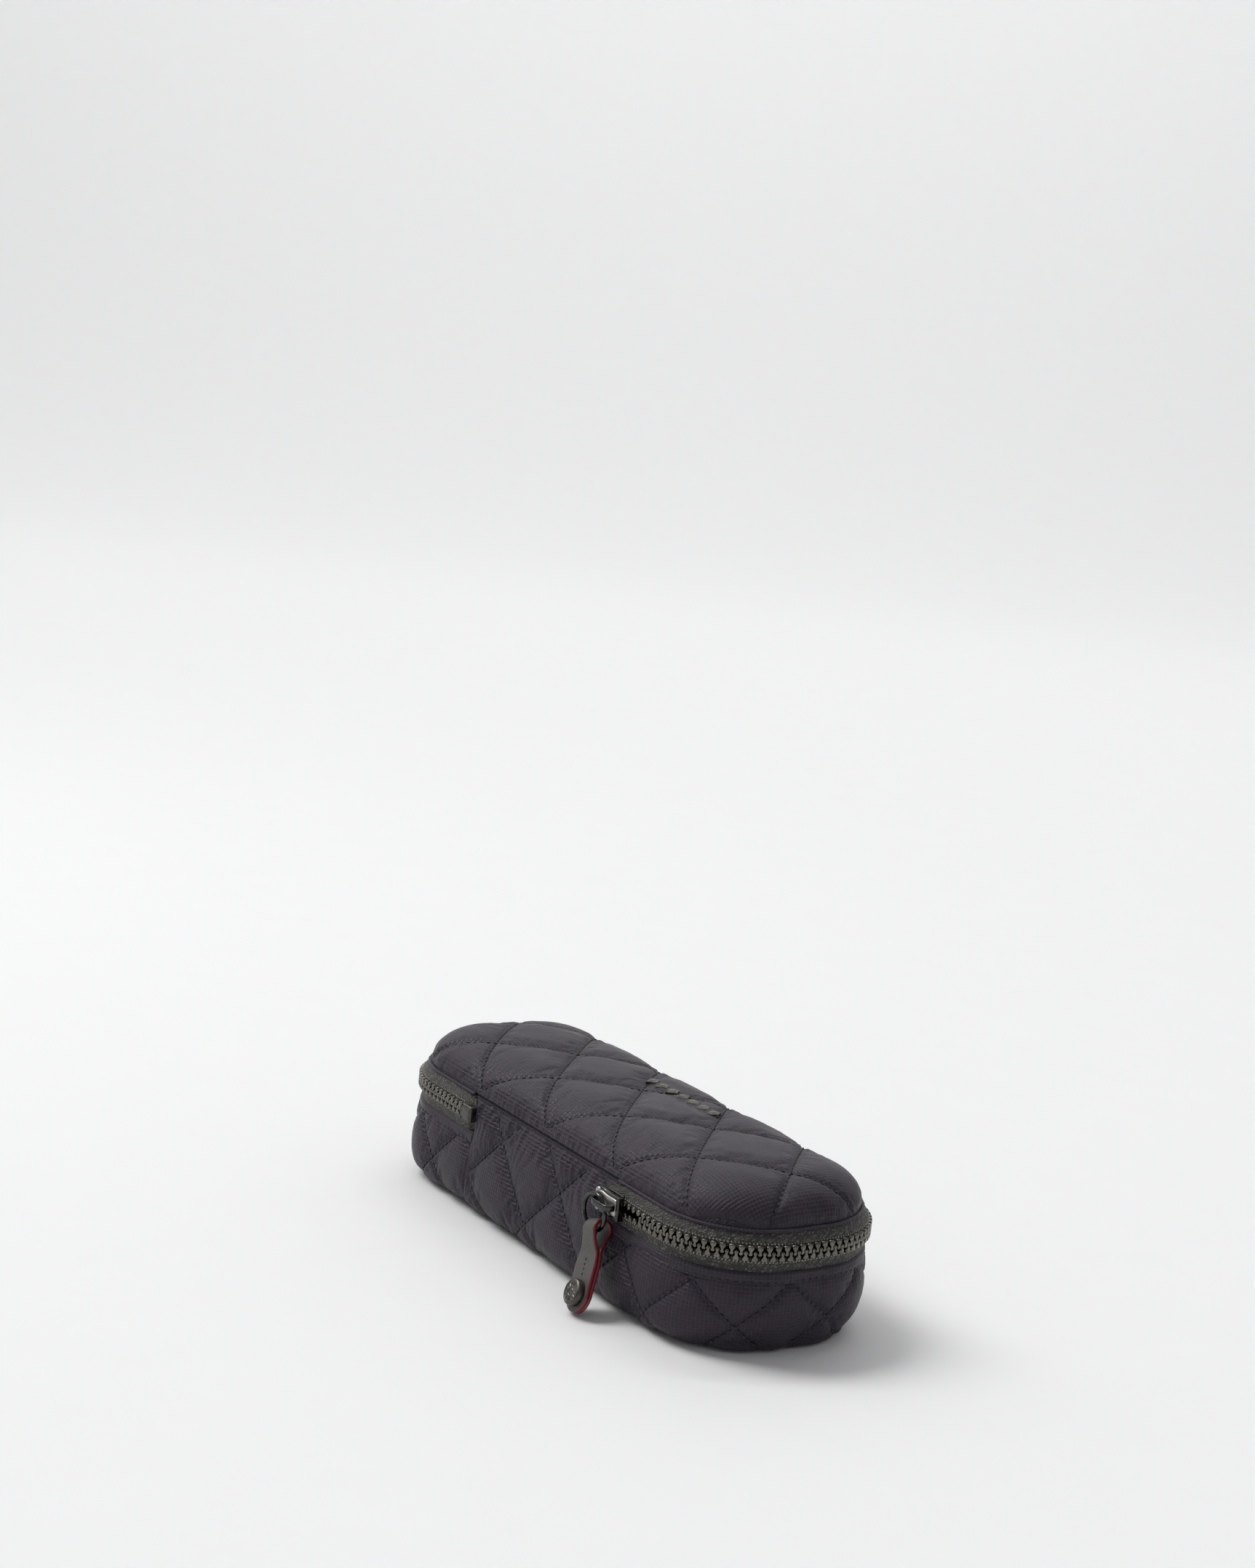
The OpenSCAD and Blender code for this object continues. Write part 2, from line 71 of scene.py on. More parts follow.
def outwardAt(u):
    # Unit vectors at u: along the outline, outwards, and up.
    turn = np.interp(np.asarray(u, float) % wholeWay, knots, knotTurn)
    zero = np.zeros_like(turn)
    along, out = np.stack([-np.sin(turn), np.cos(turn), zero], -1), np.stack([np.cos(turn), np.sin(turn), zero], -1)
    return along, out, np.stack([zero, zero, zero + 1], -1)


def smooth(low, high, value):
    # 0 below low, 1 above high, and an even S between.
    t = np.clip((value - low) / (high - low), 0, 1)
    return t * t * (3 - 2 * t)


def softNoise(x, y, size, seed, waves=9):
    # A sum of plane waves of about the given size with seeded directions and phases, between about -1 and 1.
    rng = np.random.default_rng(seed)
    angle, phase, spread = rng.uniform(0, math.tau, waves), rng.uniform(0, math.tau, waves), rng.uniform(0.6, 1.6, waves)
    total = 0
    for a, p, s in zip(angle, phase, spread):
        total = total + np.sin((x * math.cos(a) + y * math.sin(a)) * math.tau * s / size + p)
    return total / math.sqrt(waves) / 1.4


def normalsOf(points):
    # The cross product of the grid's two directions, made one long.
    along, across = np.gradient(points, axis=0), np.gradient(points, axis=1)
    normal = np.cross(along, across)
    return normal / np.maximum(np.linalg.norm(normal, axis=-1, keepdims=True), 1e-9)


def resample(values, rows, cols):
    # Catmull-Rom between the grid's own samples, one direction after the other.
    for axis, count in ((0, rows), (1, cols)):
        old = values.shape[axis]
        at = np.linspace(0, old - 1, count)
        i = np.minimum(at.astype(int), old - 2)
        f = (at - i).reshape([-1 if k == axis else 1 for k in range(values.ndim)])
        p = [np.take(values, np.clip(i + k, 0, old - 1), axis=axis) for k in (-1, 0, 1, 2)]
        square, cube = 2 * p[0] - 5 * p[1] + 4 * p[2] - p[3], 3 * p[1] - p[0] - 3 * p[2] + p[3]
        values = 0.5 * (2 * p[1] + (p[2] - p[0]) * f + square * f ** 2 + cube * f ** 3)
    return values


def evenSteps(line, count):
    # Points at equal distances along a line of points, after its corners are rounded off three times.
    line = np.asarray(line, float)
    for _ in range(3):
        middle = np.stack([line[:-1] * 0.75 + line[1:] * 0.25, line[:-1] * 0.25 + line[1:] * 0.75], 1).reshape(-1, line.shape[1])
        line = np.concatenate([line[:1], middle, line[-1:]])
    way = np.concatenate([[0], np.cumsum(np.linalg.norm(np.diff(line, axis=0), axis=1))])
    at = np.linspace(0, way[-1], count)
    return np.stack([np.interp(at, way, line[:, k]) for k in range(line.shape[1])], -1), way[-1]


def closedCurve(section, count):
    # An even, softened closed section, running anticlockwise.
    section = np.asarray(section, float)
    for _ in range(3):
        after = np.roll(section, -1, 0)
        section = np.stack([section * 0.75 + after * 0.25, section * 0.25 + after * 0.75], 1).reshape(-1, 2)
    loop = np.concatenate([section, section[:1]])
    way = np.concatenate([[0], np.cumsum(np.linalg.norm(np.diff(loop, axis=0), axis=1))])
    at = np.linspace(0, way[-1], count, endpoint=False)
    return np.stack([np.interp(at, way, loop[:, k]) for k in range(2)], -1)


def squareOff(wave, power):
    # A sine or cosine raised to a power with its sign kept, which squares off a round section.
    return np.sign(wave) * np.abs(wave) ** power


# Mesh parts: corner points in millimetres, faces as lists of corners, and a flat pattern coordinate for each corner of each face.
def gridPart(points, wrapCols=False, cap=False, flip=False, uv=None):
    # A face for each cell of the grid. wrapCols joins the last column to the first, and cap closes the first and last rows.
    rows, cols = points.shape[:2]
    index = np.arange(rows * cols).reshape(rows, cols)
    i, j = np.meshgrid(np.arange(rows - 1), np.arange(cols if wrapCols else cols - 1), indexing="ij")
    corners = [(i, j), (i + 1, j), (i + 1, j + 1), (i, j + 1)]
    if flip:
        corners.reverse()
    quads = np.stack([index[a % rows, b % cols] for a, b in corners], -1).reshape(-1, 4)
    if uv is None:
        stepRow = np.linalg.norm(np.diff(points, axis=0, append=points[:1]), axis=-1).mean(1)
        stepCol = np.linalg.norm(np.diff(points, axis=1, append=points[:, :1]), axis=-1).mean(0)
        way = np.concatenate([[0], np.cumsum(stepRow)]), np.concatenate([[0], np.cumsum(stepCol)])
        flat = np.stack([np.stack([way[0][a], way[1][b]], -1) for a, b in corners], 2)
    else:
        flat = np.stack([uv[a % rows, b % cols] for a, b in corners], 2)
    ends, flats = [], [flat.reshape(-1, 2)]
    if cap:
        for row, back in ((index[0], not flip), (index[-1], flip)):
            ends.append(row if back else row[::-1])
            flats.append(points.reshape(-1, 3)[ends[-1]][:, [0, 2]])
    return dict(points=points.reshape(-1, 3), faces=quads, ends=ends, flat=np.concatenate(flats))


def shellPart(outer, inner, uv=None):
    # A closed skin between two grids of the same size, whose edges are joined by a strip.
    first, second = gridPart(outer, uv=uv), gridPart(inner, flip=True, uv=uv)
    rows, cols = outer.shape[:2]
    index = np.arange(rows * cols).reshape(rows, cols)
    rim = np.concatenate([index[0, :-1], index[:-1, -1], index[-1, :0:-1], index[:0:-1, 0]])
    after, shift = np.roll(rim, -1), rows * cols
    strip = np.stack([rim, after, after + shift, rim + shift], -1)
    flatOf = first["points"][:, :2] if uv is None else uv.reshape(-1, 2)
    return dict(points=np.concatenate([first["points"], second["points"]]), ends=[],
        faces=np.concatenate([first["faces"], second["faces"] + shift, strip]),
        flat=np.concatenate([first["flat"], second["flat"], flatOf[strip % shift].reshape(-1, 2)]))


def repeatPart(template, origin, axisX, axisY, axisZ):
    # Copies of a small part, each put in the frame given by its origin and three axes.
    local = template["points"]
    points = origin[:, None]
    for k, axis in enumerate((axisX, axisY, axisZ)):
        points = points + local[None, :, k:k + 1] * axis[:, None]
    count, size = len(origin), len(local)
    faces = (template["faces"][None] + size * np.arange(count)[:, None, None]).reshape(-1, 4)
    ends = [end + size * k for k in range(count) for end in template["ends"]]
    quadLoops = template["faces"].size
    flat = np.concatenate([np.tile(template["flat"][:quadLoops], (count, 1)), np.tile(template["flat"][quadLoops:], (count, 1))])
    return dict(points=points.reshape(-1, 3), faces=faces, ends=ends, flat=flat)


def makePiece(name, parts, looks, rides=None, stands=None):
    # Joins the parts into one object at the origin. looks is one material, or one for each part; stands is the CAD node it stands for.
    parts = parts if isinstance(parts, list) else [parts]
    looks = looks if isinstance(looks, list) else [looks]
    points, loops, starts, flats, kinds, shift, at = [], [], [], [], [], 0, 0
    for k, part in enumerate(parts):
        quads = part["faces"] + shift
        loops.append(quads.ravel())
        starts.append(at + 4 * np.arange(len(quads)))
        at += quads.size
        for end in part["ends"]:
            loops.append(np.asarray(end) + shift)
            starts.append(np.array([at]))
            at += len(end)
        kinds.append(np.full(len(quads) + len(part["ends"]), k if len(looks) > 1 else 0))
        points.append(part["points"])
        flats.append(part["flat"])
        shift += len(part["points"])
    points, loops, starts = np.concatenate(points), np.concatenate(loops), np.concatenate(starts)
    mesh = bpy.data.meshes.new(name)
    mesh.vertices.add(len(points))
    mesh.vertices.foreach_set("co", (points * mm).astype(np.float32).ravel())
    mesh.loops.add(len(loops))
    mesh.loops.foreach_set("vertex_index", loops.astype(np.int32))
    mesh.polygons.add(len(starts))
    mesh.polygons.foreach_set("loop_start", starts.astype(np.int32))
    mesh.polygons.foreach_set("material_index", np.concatenate(kinds).astype(np.int32))
    mesh.polygons.foreach_set("use_smooth", np.ones(len(starts), bool))
    mesh.update(calc_edges=True)
    layer = mesh.uv_layers.new(name="cloth")
    layer.data.foreach_set("uv", (np.concatenate(flats) * 0.1).astype(np.float32).ravel())
    mesh.validate()
    for look in looks:
        mesh.materials.append(look)
    piece = bpy.data.objects.new(name, mesh)
    bpy.context.scene.collection.objects.link(piece)
    if rides:
        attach(piece, rides)
    if stands:
        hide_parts(stands)
    return piece


def dressNode(node, look):
    # Gives a CAD node that stays its material.
    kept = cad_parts[node]
    kept.data.materials.clear()
    kept.data.materials.append(look)
    return kept


def sectionAround(section, start, end, step=1.2, wobble=None):
    # A closed section of (reach, height) points carried round the case between two places.
    u = np.linspace(start, end, max(int((end - start) / step), 2))
    section = np.asarray(section, float)
    points = aroundCase(u[:, None], section[None, :, 0], section[None, :, 1])
    if wobble is not None:
        points = points + wobble(u[:, None], section[None, :, 1])
    return gridPart(points, wrapCols=True, cap=True)


def roundBoxPart(middle, size, edge=0.35, steps=5):
    # A box whose edges are rounded: rings of a rounded rectangle, which narrow along a quarter circle at both ends.
    half = np.asarray(size, float) / 2
    edge = min(edge, *(half * 0.98))
    bend = np.linspace(0, math.pi / 2, steps)
    inset = np.concatenate([edge * (1 - np.sin(bend)), edge * (1 - np.sin(bend[::-1]))])
    height = np.concatenate([-half[2] + edge * (1 - np.cos(bend)), half[2] - edge * (1 - np.cos(bend[::-1]))])
    a = np.concatenate([np.linspace(0, math.pi / 2, steps) + k * math.pi / 2 for k in range(4)])
    signX, signY = np.repeat([1, -1, -1, 1], steps), np.repeat([1, 1, -1, -1], steps)
    r = edge - inset[:, None]
    x = signX * (half[0] - edge) + r * np.cos(a)
    y = signY * (half[1] - edge) + r * np.sin(a)
    points = np.stack([x, y, np.broadcast_to(height[:, None], x.shape)], -1)
    return gridPart(points + np.asarray(middle, float), wrapCols=True, cap=True, flip=True)


def movePart(part, turn, shift):
    # The part turned by a matrix, then shifted.
    return dict(part, points=part["points"] @ np.asarray(turn, float).T + np.asarray(shift, float))


def lathePart(profile, sides=48, relief=None):
    # A profile of (radius, height) points turned round the Z axis; relief adds height by radius and angle.
    profile = np.asarray(profile, float)
    a = np.arange(sides) * math.tau / sides
    r = profile[:, :1] * np.ones(sides)
    z = profile[:, 1:] * np.ones(sides)
    if relief is not None:
        z = z + relief(r, a[None, :])
    return gridPart(np.stack([r * np.cos(a), r * np.sin(a), z], -1), wrapCols=True, cap=True, flip=True)


def threadPart(length, radius):
    # One stitch: a short thread that swells in the middle and dips into the cloth at both ends.
    # It lies along X, with Z away from the cloth.
    along = np.linspace(-0.5, 0.5, 5)
    path = np.stack([along * length, 0 * along, radius * (0.55 - 2.6 * np.abs(2 * along) ** 3)], -1)
    a = np.arange(6) * math.tau / 6
    fat = radius * np.array([0.5, 0.9, 1.0, 0.9, 0.5])
    ring = path[:, None] + fat[:, None, None] * np.stack([0 * a, np.cos(a), np.sin(a)], -1)[None]
    return gridPart(ring, wrapCols=True, cap=True, flip=True)


def stitchesAlong(line, outward, pitch, length, radius):
    # Stitches at an even pitch along a line of points on the cloth.
    way = np.concatenate([[0], np.cumsum(np.linalg.norm(np.diff(line, axis=0), axis=1))])
    count = int((way[-1] - length) / pitch)
    if count < 1:
        return None
    at = (way[-1] - (count - 1) * pitch) / 2 + pitch * np.arange(count)
    pick = lambda values, where: np.stack([np.interp(where, way, values[:, k]) for k in range(3)], -1)
    origin, ahead, up = pick(line, at), pick(line, at + 0.3) - pick(line, at - 0.3), pick(outward, at)
    ahead /= np.linalg.norm(ahead, axis=1, keepdims=True)
    side = np.cross(up, ahead)
    side /= np.linalg.norm(side, axis=1, keepdims=True)
    return repeatPart(threadPart(length, radius), origin, ahead, side, np.cross(ahead, side))


# Quilting: two families of straight lines. a + b = first is repeated every sumStep, and a - b = second every gapStep.
def quiltPlace(a, b, quilt):
    first = (a + b - quilt["first"] + quilt["sumStep"] / 2) % quilt["sumStep"] - quilt["sumStep"] / 2
    second = (a - b - quilt["second"] + quilt["gapStep"] / 2) % quilt["gapStep"] - quilt["gapStep"] / 2
    return first, second


def quiltPillow(a, b, quilt):
    # Height between the lines: a low power of two half sines, so that it rises steeply from a seam and is nearly flat in the middle.
    first, second = quiltPlace(a, b, quilt)
    return np.abs(np.sin(math.pi * first / quilt["sumStep"]) * np.sin(math.pi * second / quilt["gapStep"])) ** 0.36


def quiltSeam(a, b, quilt):
    # Distance from the nearest seam line.
    first, second = quiltPlace(a, b, quilt)
    return np.minimum(np.abs(first), np.abs(second)) / math.sqrt(2)


def quiltPucker(a, b, quilt, seed):
    # Small ridges across each seam line, about one for each stitch, that die away from it.
    first, second = quiltPlace(a, b, quilt)
    total = 0
    for offset, along, s in ((first, a - b, 0), (second, a + b, 5)):
        away = np.abs(offset) / math.sqrt(2)
        walk = along / math.sqrt(2) + 0.5 * softNoise(a, b, 16, seed + s)
        reach = 1.7 + 1.3 * (softNoise(a, b, 11, seed + s + 1) + 0.3)
        total = total + np.exp(-away / np.clip(reach, 0.6, 4.5)) * np.sin(walk * math.tau / quilt["pucker"]) * smooth(0.1, 0.7, away)
    return total


def quiltLines(quilt, aRange, bRange):
    # Each seam line inside the given ranges, as closely spaced (a, b) points.
    lines = []
    b = np.arange(bRange[0], bRange[1] + 1e-6, 0.4)
    for start, sign, period in ((quilt["first"], -1, quilt["sumStep"]), (quilt["second"], 1, quilt["gapStep"])):
        spare = max(abs(bRange[0]), abs(bRange[1]))
        low, high = aRange[0] - spare, aRange[1] + spare
        for k in range(int((low - start) // period), int((high - start) // period) + 2):
            a = start + k * period + sign * b
            lines.append(np.stack([a, b], -1))
    return lines


# The skins are simulated at scale times their size, because cloth behaves better when it is large.
# step is the coarse grid's, in millimetres.
clothSettings = dict(scale=10.0, frames=14, step=1.05)


def settleCloth(jobs):
    # Lets padded skins settle under pressure. The seam lines are held, and the cloth is cut a little long, so that it buckles between them.
    scale, made = clothSettings["scale"], []
    for job in jobs:
        part = gridPart(job["points"])
        mesh = bpy.data.meshes.new("settling")
        mesh.from_pydata((part["points"] * mm * scale).tolist(), [], part["faces"].tolist())
        skin = bpy.data.objects.new("settling", mesh)
        bpy.context.scene.collection.objects.link(skin)
        group = skin.vertex_groups.new(name="held")
        group.add(np.flatnonzero(job["held"].ravel()).tolist(), 1.0, "REPLACE")
        cloth = skin.modifiers.new("cloth", "CLOTH")
        s = cloth.settings
        s.quality, s.mass, s.air_damping = 5, 0.12, 2.0
        s.tension_stiffness = s.compression_stiffness = 12
        s.shear_stiffness, s.bending_stiffness = 4, job["bend"]
        s.tension_damping = s.compression_damping = 4
        s.vertex_group_mass = "held"
        s.shrink_min = -job["spare"]
        s.use_pressure, s.uniform_pressure_force = True, job["pressure"]
        s.effector_weights.gravity = 0
        cloth.collision_settings.use_collision = False
        cloth.point_cache.frame_start, cloth.point_cache.frame_end = 1, clothSettings["frames"]
        made.append(skin)
    scene = bpy.context.scene
    for number in range(1, clothSettings["frames"] + 1):
        scene.frame_set(number)
    graph = bpy.context.evaluated_depsgraph_get()
    results = []
    for job, skin in zip(jobs, made):
        shape = job["points"].shape
        flat = np.empty(shape[0] * shape[1] * 3, np.float32)
        skin.evaluated_get(graph).data.vertices.foreach_get("co", flat)
        moved = flat.reshape(shape).astype(float) / (mm * scale) - job["points"]
        far = np.linalg.norm(moved, axis=-1, keepdims=True)
        results.append(job["points"] + moved * np.minimum(1, job["most"] / np.maximum(far, 1e-9)))
        print("  settled", job["name"], "mean move %.2f mm, most %.2f mm" % (far.mean(), far.max()))
    for skin in made:
        mesh = skin.data
        bpy.data.objects.remove(skin)
        bpy.data.meshes.remove(mesh)
    scene.frame_set(1)
    return results


print("looks")


def startLook(name, colour, rough, metallic=0.0, **sockets):
    look = bpy.data.materials.new(name)
    look.use_nodes = True
    shader = look.node_tree.nodes["Principled BSDF"]
    shader.inputs["Base Color"].default_value = (*colour, 1)
    shader.inputs["Roughness"].default_value = rough
    shader.inputs["Metallic"].default_value = metallic
    for key, value in sockets.items():
        shader.inputs[key.replace("_", " ")].default_value = value
    look.diffuse_color = (*colour, 1)
    return look, shader


def addNode(look, kind, inputs=(), **settings):
    # A node with its settings, whose inputs are numbers, colours or other nodes' outputs.
    made = look.node_tree.nodes.new("ShaderNode" + kind)
    for key, value in settings.items():
        setattr(made, key, value)
    for key, value in dict(inputs).items():
        if isinstance(value, bpy.types.NodeSocket):
            look.node_tree.links.new(value, made.inputs[key])
        else:
            made.inputs[key].default_value = value
    return made


def maths(look, operation, *values):
    return addNode(look, "Math", dict(enumerate(values)), operation=operation).outputs[0]


def ranged(look, value, low, high, toLow, toHigh):
    return addNode(look, "MapRange", {0: value, 1: low, 2: high, 3: toLow, 4: toHigh}).outputs[0]


def mixed(look, share, first, second):
    return addNode(look, "Mix", {0: share, 6: (*first, 1), 7: (*second, 1)}, data_type="RGBA").outputs[2]


def flatPlace(look):
    # The cloth's own coordinates in millimetres.
    flat = addNode(look, "UVMap", uv_map="cloth").outputs[0]
    return addNode(look, "VectorMath", {0: flat, 1: (10, 10, 10)}, operation="MULTIPLY").outputs[0]


def splitUp(look, vector):
    made = addNode(look, "SeparateXYZ", {0: vector})
    return made.outputs[0], made.outputs[1]


def noiseOf(look, vector, scale, detail=3.0, rough=0.5):
    return addNode(look, "TexNoise", {"Vector": vector, "Scale": scale, "Detail": detail, "Roughness": rough}).outputs["Fac"]


def objectPlace(look):
    return addNode(look, "TexCoord").outputs["Object"]


def bumped(look, shader, height, distance, strength=1.0):
    bump = addNode(look, "Bump", {"Height": height, "Distance": distance, "Strength": strength})
    look.node_tree.links.new(bump.outputs[0], shader.inputs["Normal"])


def ridgeLines(look, along, pitch, width):
    # 1 on thin lines at an even pitch, 0 between them.
    return ranged(look, maths(look, "PINGPONG", along, pitch / 2), 0.0, width, 1.0, 0.0)


def nylonLook():
    values = dict(colour=(0.020, 0.0145, 0.0225), light=(0.060, 0.047, 0.066), pitch=1.15, width=0.20)
    look, shader = startLook("ripstopNylon", values["colour"], 0.42, Specular_IOR_Level=0.24)
    flat, place = flatPlace(look), objectPlace(look)
    across, along = splitUp(look, flat)
    ribs = [ridgeLines(look, way, values["pitch"], values["width"]) for way in (across, along)]
    grid = maths(look, "MAXIMUM", *ribs)
    weave = noiseOf(look, flat, 3.2, 2.0)
    cloudy = noiseOf(look, place, 55.0, 4.0)
    share = maths(look, "MULTIPLY_ADD", grid, 0.45, maths(look, "MULTIPLY", cloudy, 0.45))
    look.node_tree.links.new(mixed(look, share, values["colour"], values["light"]), shader.inputs["Base Color"])
    look.node_tree.links.new(ranged(look, cloudy, 0.3, 0.7, 0.36, 0.50), shader.inputs["Roughness"])
    crumple = noiseOf(look, place, 420.0, 4.0, 0.6)
    soft = maths(look, "ADD", maths(look, "MULTIPLY", weave, 0.25), maths(look, "MULTIPLY", crumple, 1.6))
    height = maths(look, "ADD", maths(look, "MULTIPLY", grid, 0.9), soft)
    bumped(look, shader, height, 0.00012, 0.75)
    return look


def threadLook(name, colour):
    look, shader = startLook(name, colour, 0.6, Sheen_Weight=0.3)
    twist = addNode(look, "TexWave", {"Vector": objectPlace(look), "Scale": 900.0, "Distortion": 1.0}).outputs["Fac"]
    dark, light = tuple(c * 0.6 for c in colour), tuple(c * 1.5 for c in colour)
    look.node_tree.links.new(mixed(look, twist, dark, light), shader.inputs["Base Color"])
    bumped(look, shader, twist, 0.00008, 0.6)
    return look


def tapeLook():
    # The tape's light colour is a painted highlight: it stands in for the glints on the woven tape.
    values = dict(colour=(0.012, 0.011, 0.009), light=(0.20, 0.182, 0.15), rib=0.95)
    look, shader = startLook("wovenTape", values["colour"], 0.62, Sheen_Weight=0.15)
    flat = flatPlace(look)
    cells = addNode(look, "TexVoronoi", {"Vector": flat, "Scale": 0.95, "Randomness": 0.85}, feature="F1")
    pebbleAndGlint = ranged(look, cells.outputs["Distance"], 0.0, 0.62, 1.0, 0.0)
    across, along = splitUp(look, flat)
    slant = ridgeLines(look, maths(look, "ADD", across, maths(look, "PINGPONG", along, 1.1)), values["rib"], 0.25)
    height = maths(look, "ADD", pebbleAndGlint, maths(look, "MULTIPLY", slant, 0.5))
    # Painted highlight: the pebbles' middles are mixed towards the light colour as glints. The same pebbles also give
    # the real bump.
    share = maths(look, "MULTIPLY", maths(look, "POWER", pebbleAndGlint, 1.7), 0.95)
    look.node_tree.links.new(mixed(look, share, values["colour"], values["light"]), shader.inputs["Base Color"])
    bumped(look, shader, height, 0.00035, 1.0)
    return look


def metalLook(name, colour, rough, wear=0.25, grain=0.35):
    look, shader = startLook(name, colour, rough, 1.0, Specular_IOR_Level=0.5)
    place = objectPlace(look)
    patches, fine = noiseOf(look, place, 260.0, 4.0), noiseOf(look, place, 2600.0, 2.0)
    lighter = tuple(min(1, c * (1 + wear * 2.2)) for c in colour)
    worn = ranged(look, patches, 0.35, 0.72, 0.0, 1.0)
    look.node_tree.links.new(mixed(look, worn, colour, lighter), shader.inputs["Base Color"])
    look.node_tree.links.new(ranged(look, patches, 0.3, 0.7, rough * 0.8, rough * 1.25), shader.inputs["Roughness"])
    bumped(look, shader, fine, 0.00003, grain)
    return look


def leatherLook(name, colour, rough=0.5):
    look, shader = startLook(name, colour, rough, Specular_IOR_Level=0.45)
    place = objectPlace(look)
    grain = addNode(look, "TexVoronoi", {"Vector": place, "Scale": 1500.0}, feature="DISTANCE_TO_EDGE").outputs["Distance"]
    pores = ranged(look, grain, 0.0, 0.22, 0.0, 1.0)
    cloudy = noiseOf(look, place, 300.0, 4.0)
    dark, light = tuple(c * 0.72 for c in colour), tuple(c * 1.25 for c in colour)
    look.node_tree.links.new(mixed(look, maths(look, "MULTIPLY", pores, cloudy), dark, light), shader.inputs["Base Color"])
    look.node_tree.links.new(ranged(look, cloudy, 0.3, 0.7, rough * 0.8, rough * 1.2), shader.inputs["Roughness"])
    bumped(look, shader, pores, 0.00005, 0.5)
    return look


def liningLook(name, colour, light, rough=0.75):
    look, shader = startLook(name, colour, rough, Sheen_Weight=0.35, Sheen_Roughness=0.5)
    flat = flatPlace(look)
    across, along = splitUp(look, flat)
    twill = maths(look, "PINGPONG", maths(look, "MULTIPLY_ADD", along, 0.6, across), 0.22)
    cloudy = noiseOf(look, objectPlace(look), 90.0, 4.0)
    share = maths(look, "MULTIPLY_ADD", twill, 1.6, maths(look, "MULTIPLY", cloudy, 0.5))
    look.node_tree.links.new(mixed(look, share, colour, light), shader.inputs["Base Color"])
    bumped(look, shader, maths(look, "ADD", maths(look, "MULTIPLY", twill, 2.0), cloudy), 0.00010, 0.6)
    return look


def paintedEdgeLook():
    look, shader = startLook("redEdgePaint", (0.17, 0.008, 0.018), 0.28, Coat_Weight=0.3, Coat_Roughness=0.15)
    streaks = noiseOf(look, objectPlace(look), 700.0, 3.0)
    look.node_tree.links.new(mixed(look, streaks, (0.10, 0.004, 0.010), (0.24, 0.014, 0.026)), shader.inputs["Base Color"])
    bumped(look, shader, streaks, 0.00006, 0.5)
    return look


def boardLook(name, colour, size):
    look, shader = startLook(name, colour, 0.85)
    fibres = noiseOf(look, objectPlace(look), size, 5.0, 0.65)
    dark, light = tuple(c * 0.8 for c in colour), tuple(min(1, c * 1.2) for c in colour)
    look.node_tree.links.new(mixed(look, fibres, dark, light), shader.inputs["Base Color"])
    bumped(look, shader, fibres, 0.0001, 0.5)
    return look


nylon, tapeCloth = nylonLook(), tapeLook()
# The cord thread's pale colour is a painted highlight: the cord loops are real, and their pale colour stands in for the
# glints along the tape's edge.
# darkThread's near-black colour is partly the thread's own and partly painted shade: it is darker than the nylon so
# that the quilted seams read as dark grooves.
darkThread, cordThreadPaintedGlint = threadLook("darkThread", (0.0045, 0.004, 0.005)), threadLook("cordThreadPaintedGlint", (0.34, 0.32, 0.27))
toothMetal = metalLook("mouldedGunmetal", (0.105, 0.098, 0.086), 0.26, 0.35)
sliderMetal = metalLook("satinGunmetal", (0.36, 0.35, 0.34), 0.36, 0.15)
brightMetal = metalLook("polishedGunmetal", (0.30, 0.285, 0.265), 0.22, 0.2)
blackMetal = metalLook("blackGunmetal", (0.045, 0.044, 0.043), 0.14, 0.3, 0.15)
rivetMetal = metalLook("agedGunmetal", (0.075, 0.070, 0.064), 0.38, 0.5)
taupeLeather, redEdge = leatherLook("taupeLeather", (0.092, 0.084, 0.077)), paintedEdgeLook()
flapLeather = leatherLook("flapLeather", (0.085, 0.078, 0.072))
wineLining = liningLook("wineLining", (0.115, 0.012, 0.024), (0.24, 0.030, 0.052))
ringVelvet = liningLook("ringVelvet", (0.125, 0.014, 0.027), (0.27, 0.040, 0.062), 0.85)
wineThread = threadLook("wineThread", (0.16, 0.02, 0.035))
greyBoard, paleFoam = boardLook("greyBoard", (0.30, 0.29, 0.27), 400.0), boardLook("paleFoam", (0.55, 0.53, 0.50), 900.0)

print("padded skins")


def archTable(reach, rise):
    # Distance along the arch against reach and height: reach goes as the sine to the power 0.74, height as the cosine to 0.95.
    a = np.linspace(0, math.pi / 2, 400)
    out, up = reach * np.sin(a) ** 0.74, rise * np.cos(a) ** 0.95
    return np.concatenate([[0], np.cumsum(np.hypot(np.diff(out), np.diff(up)))]), out, up


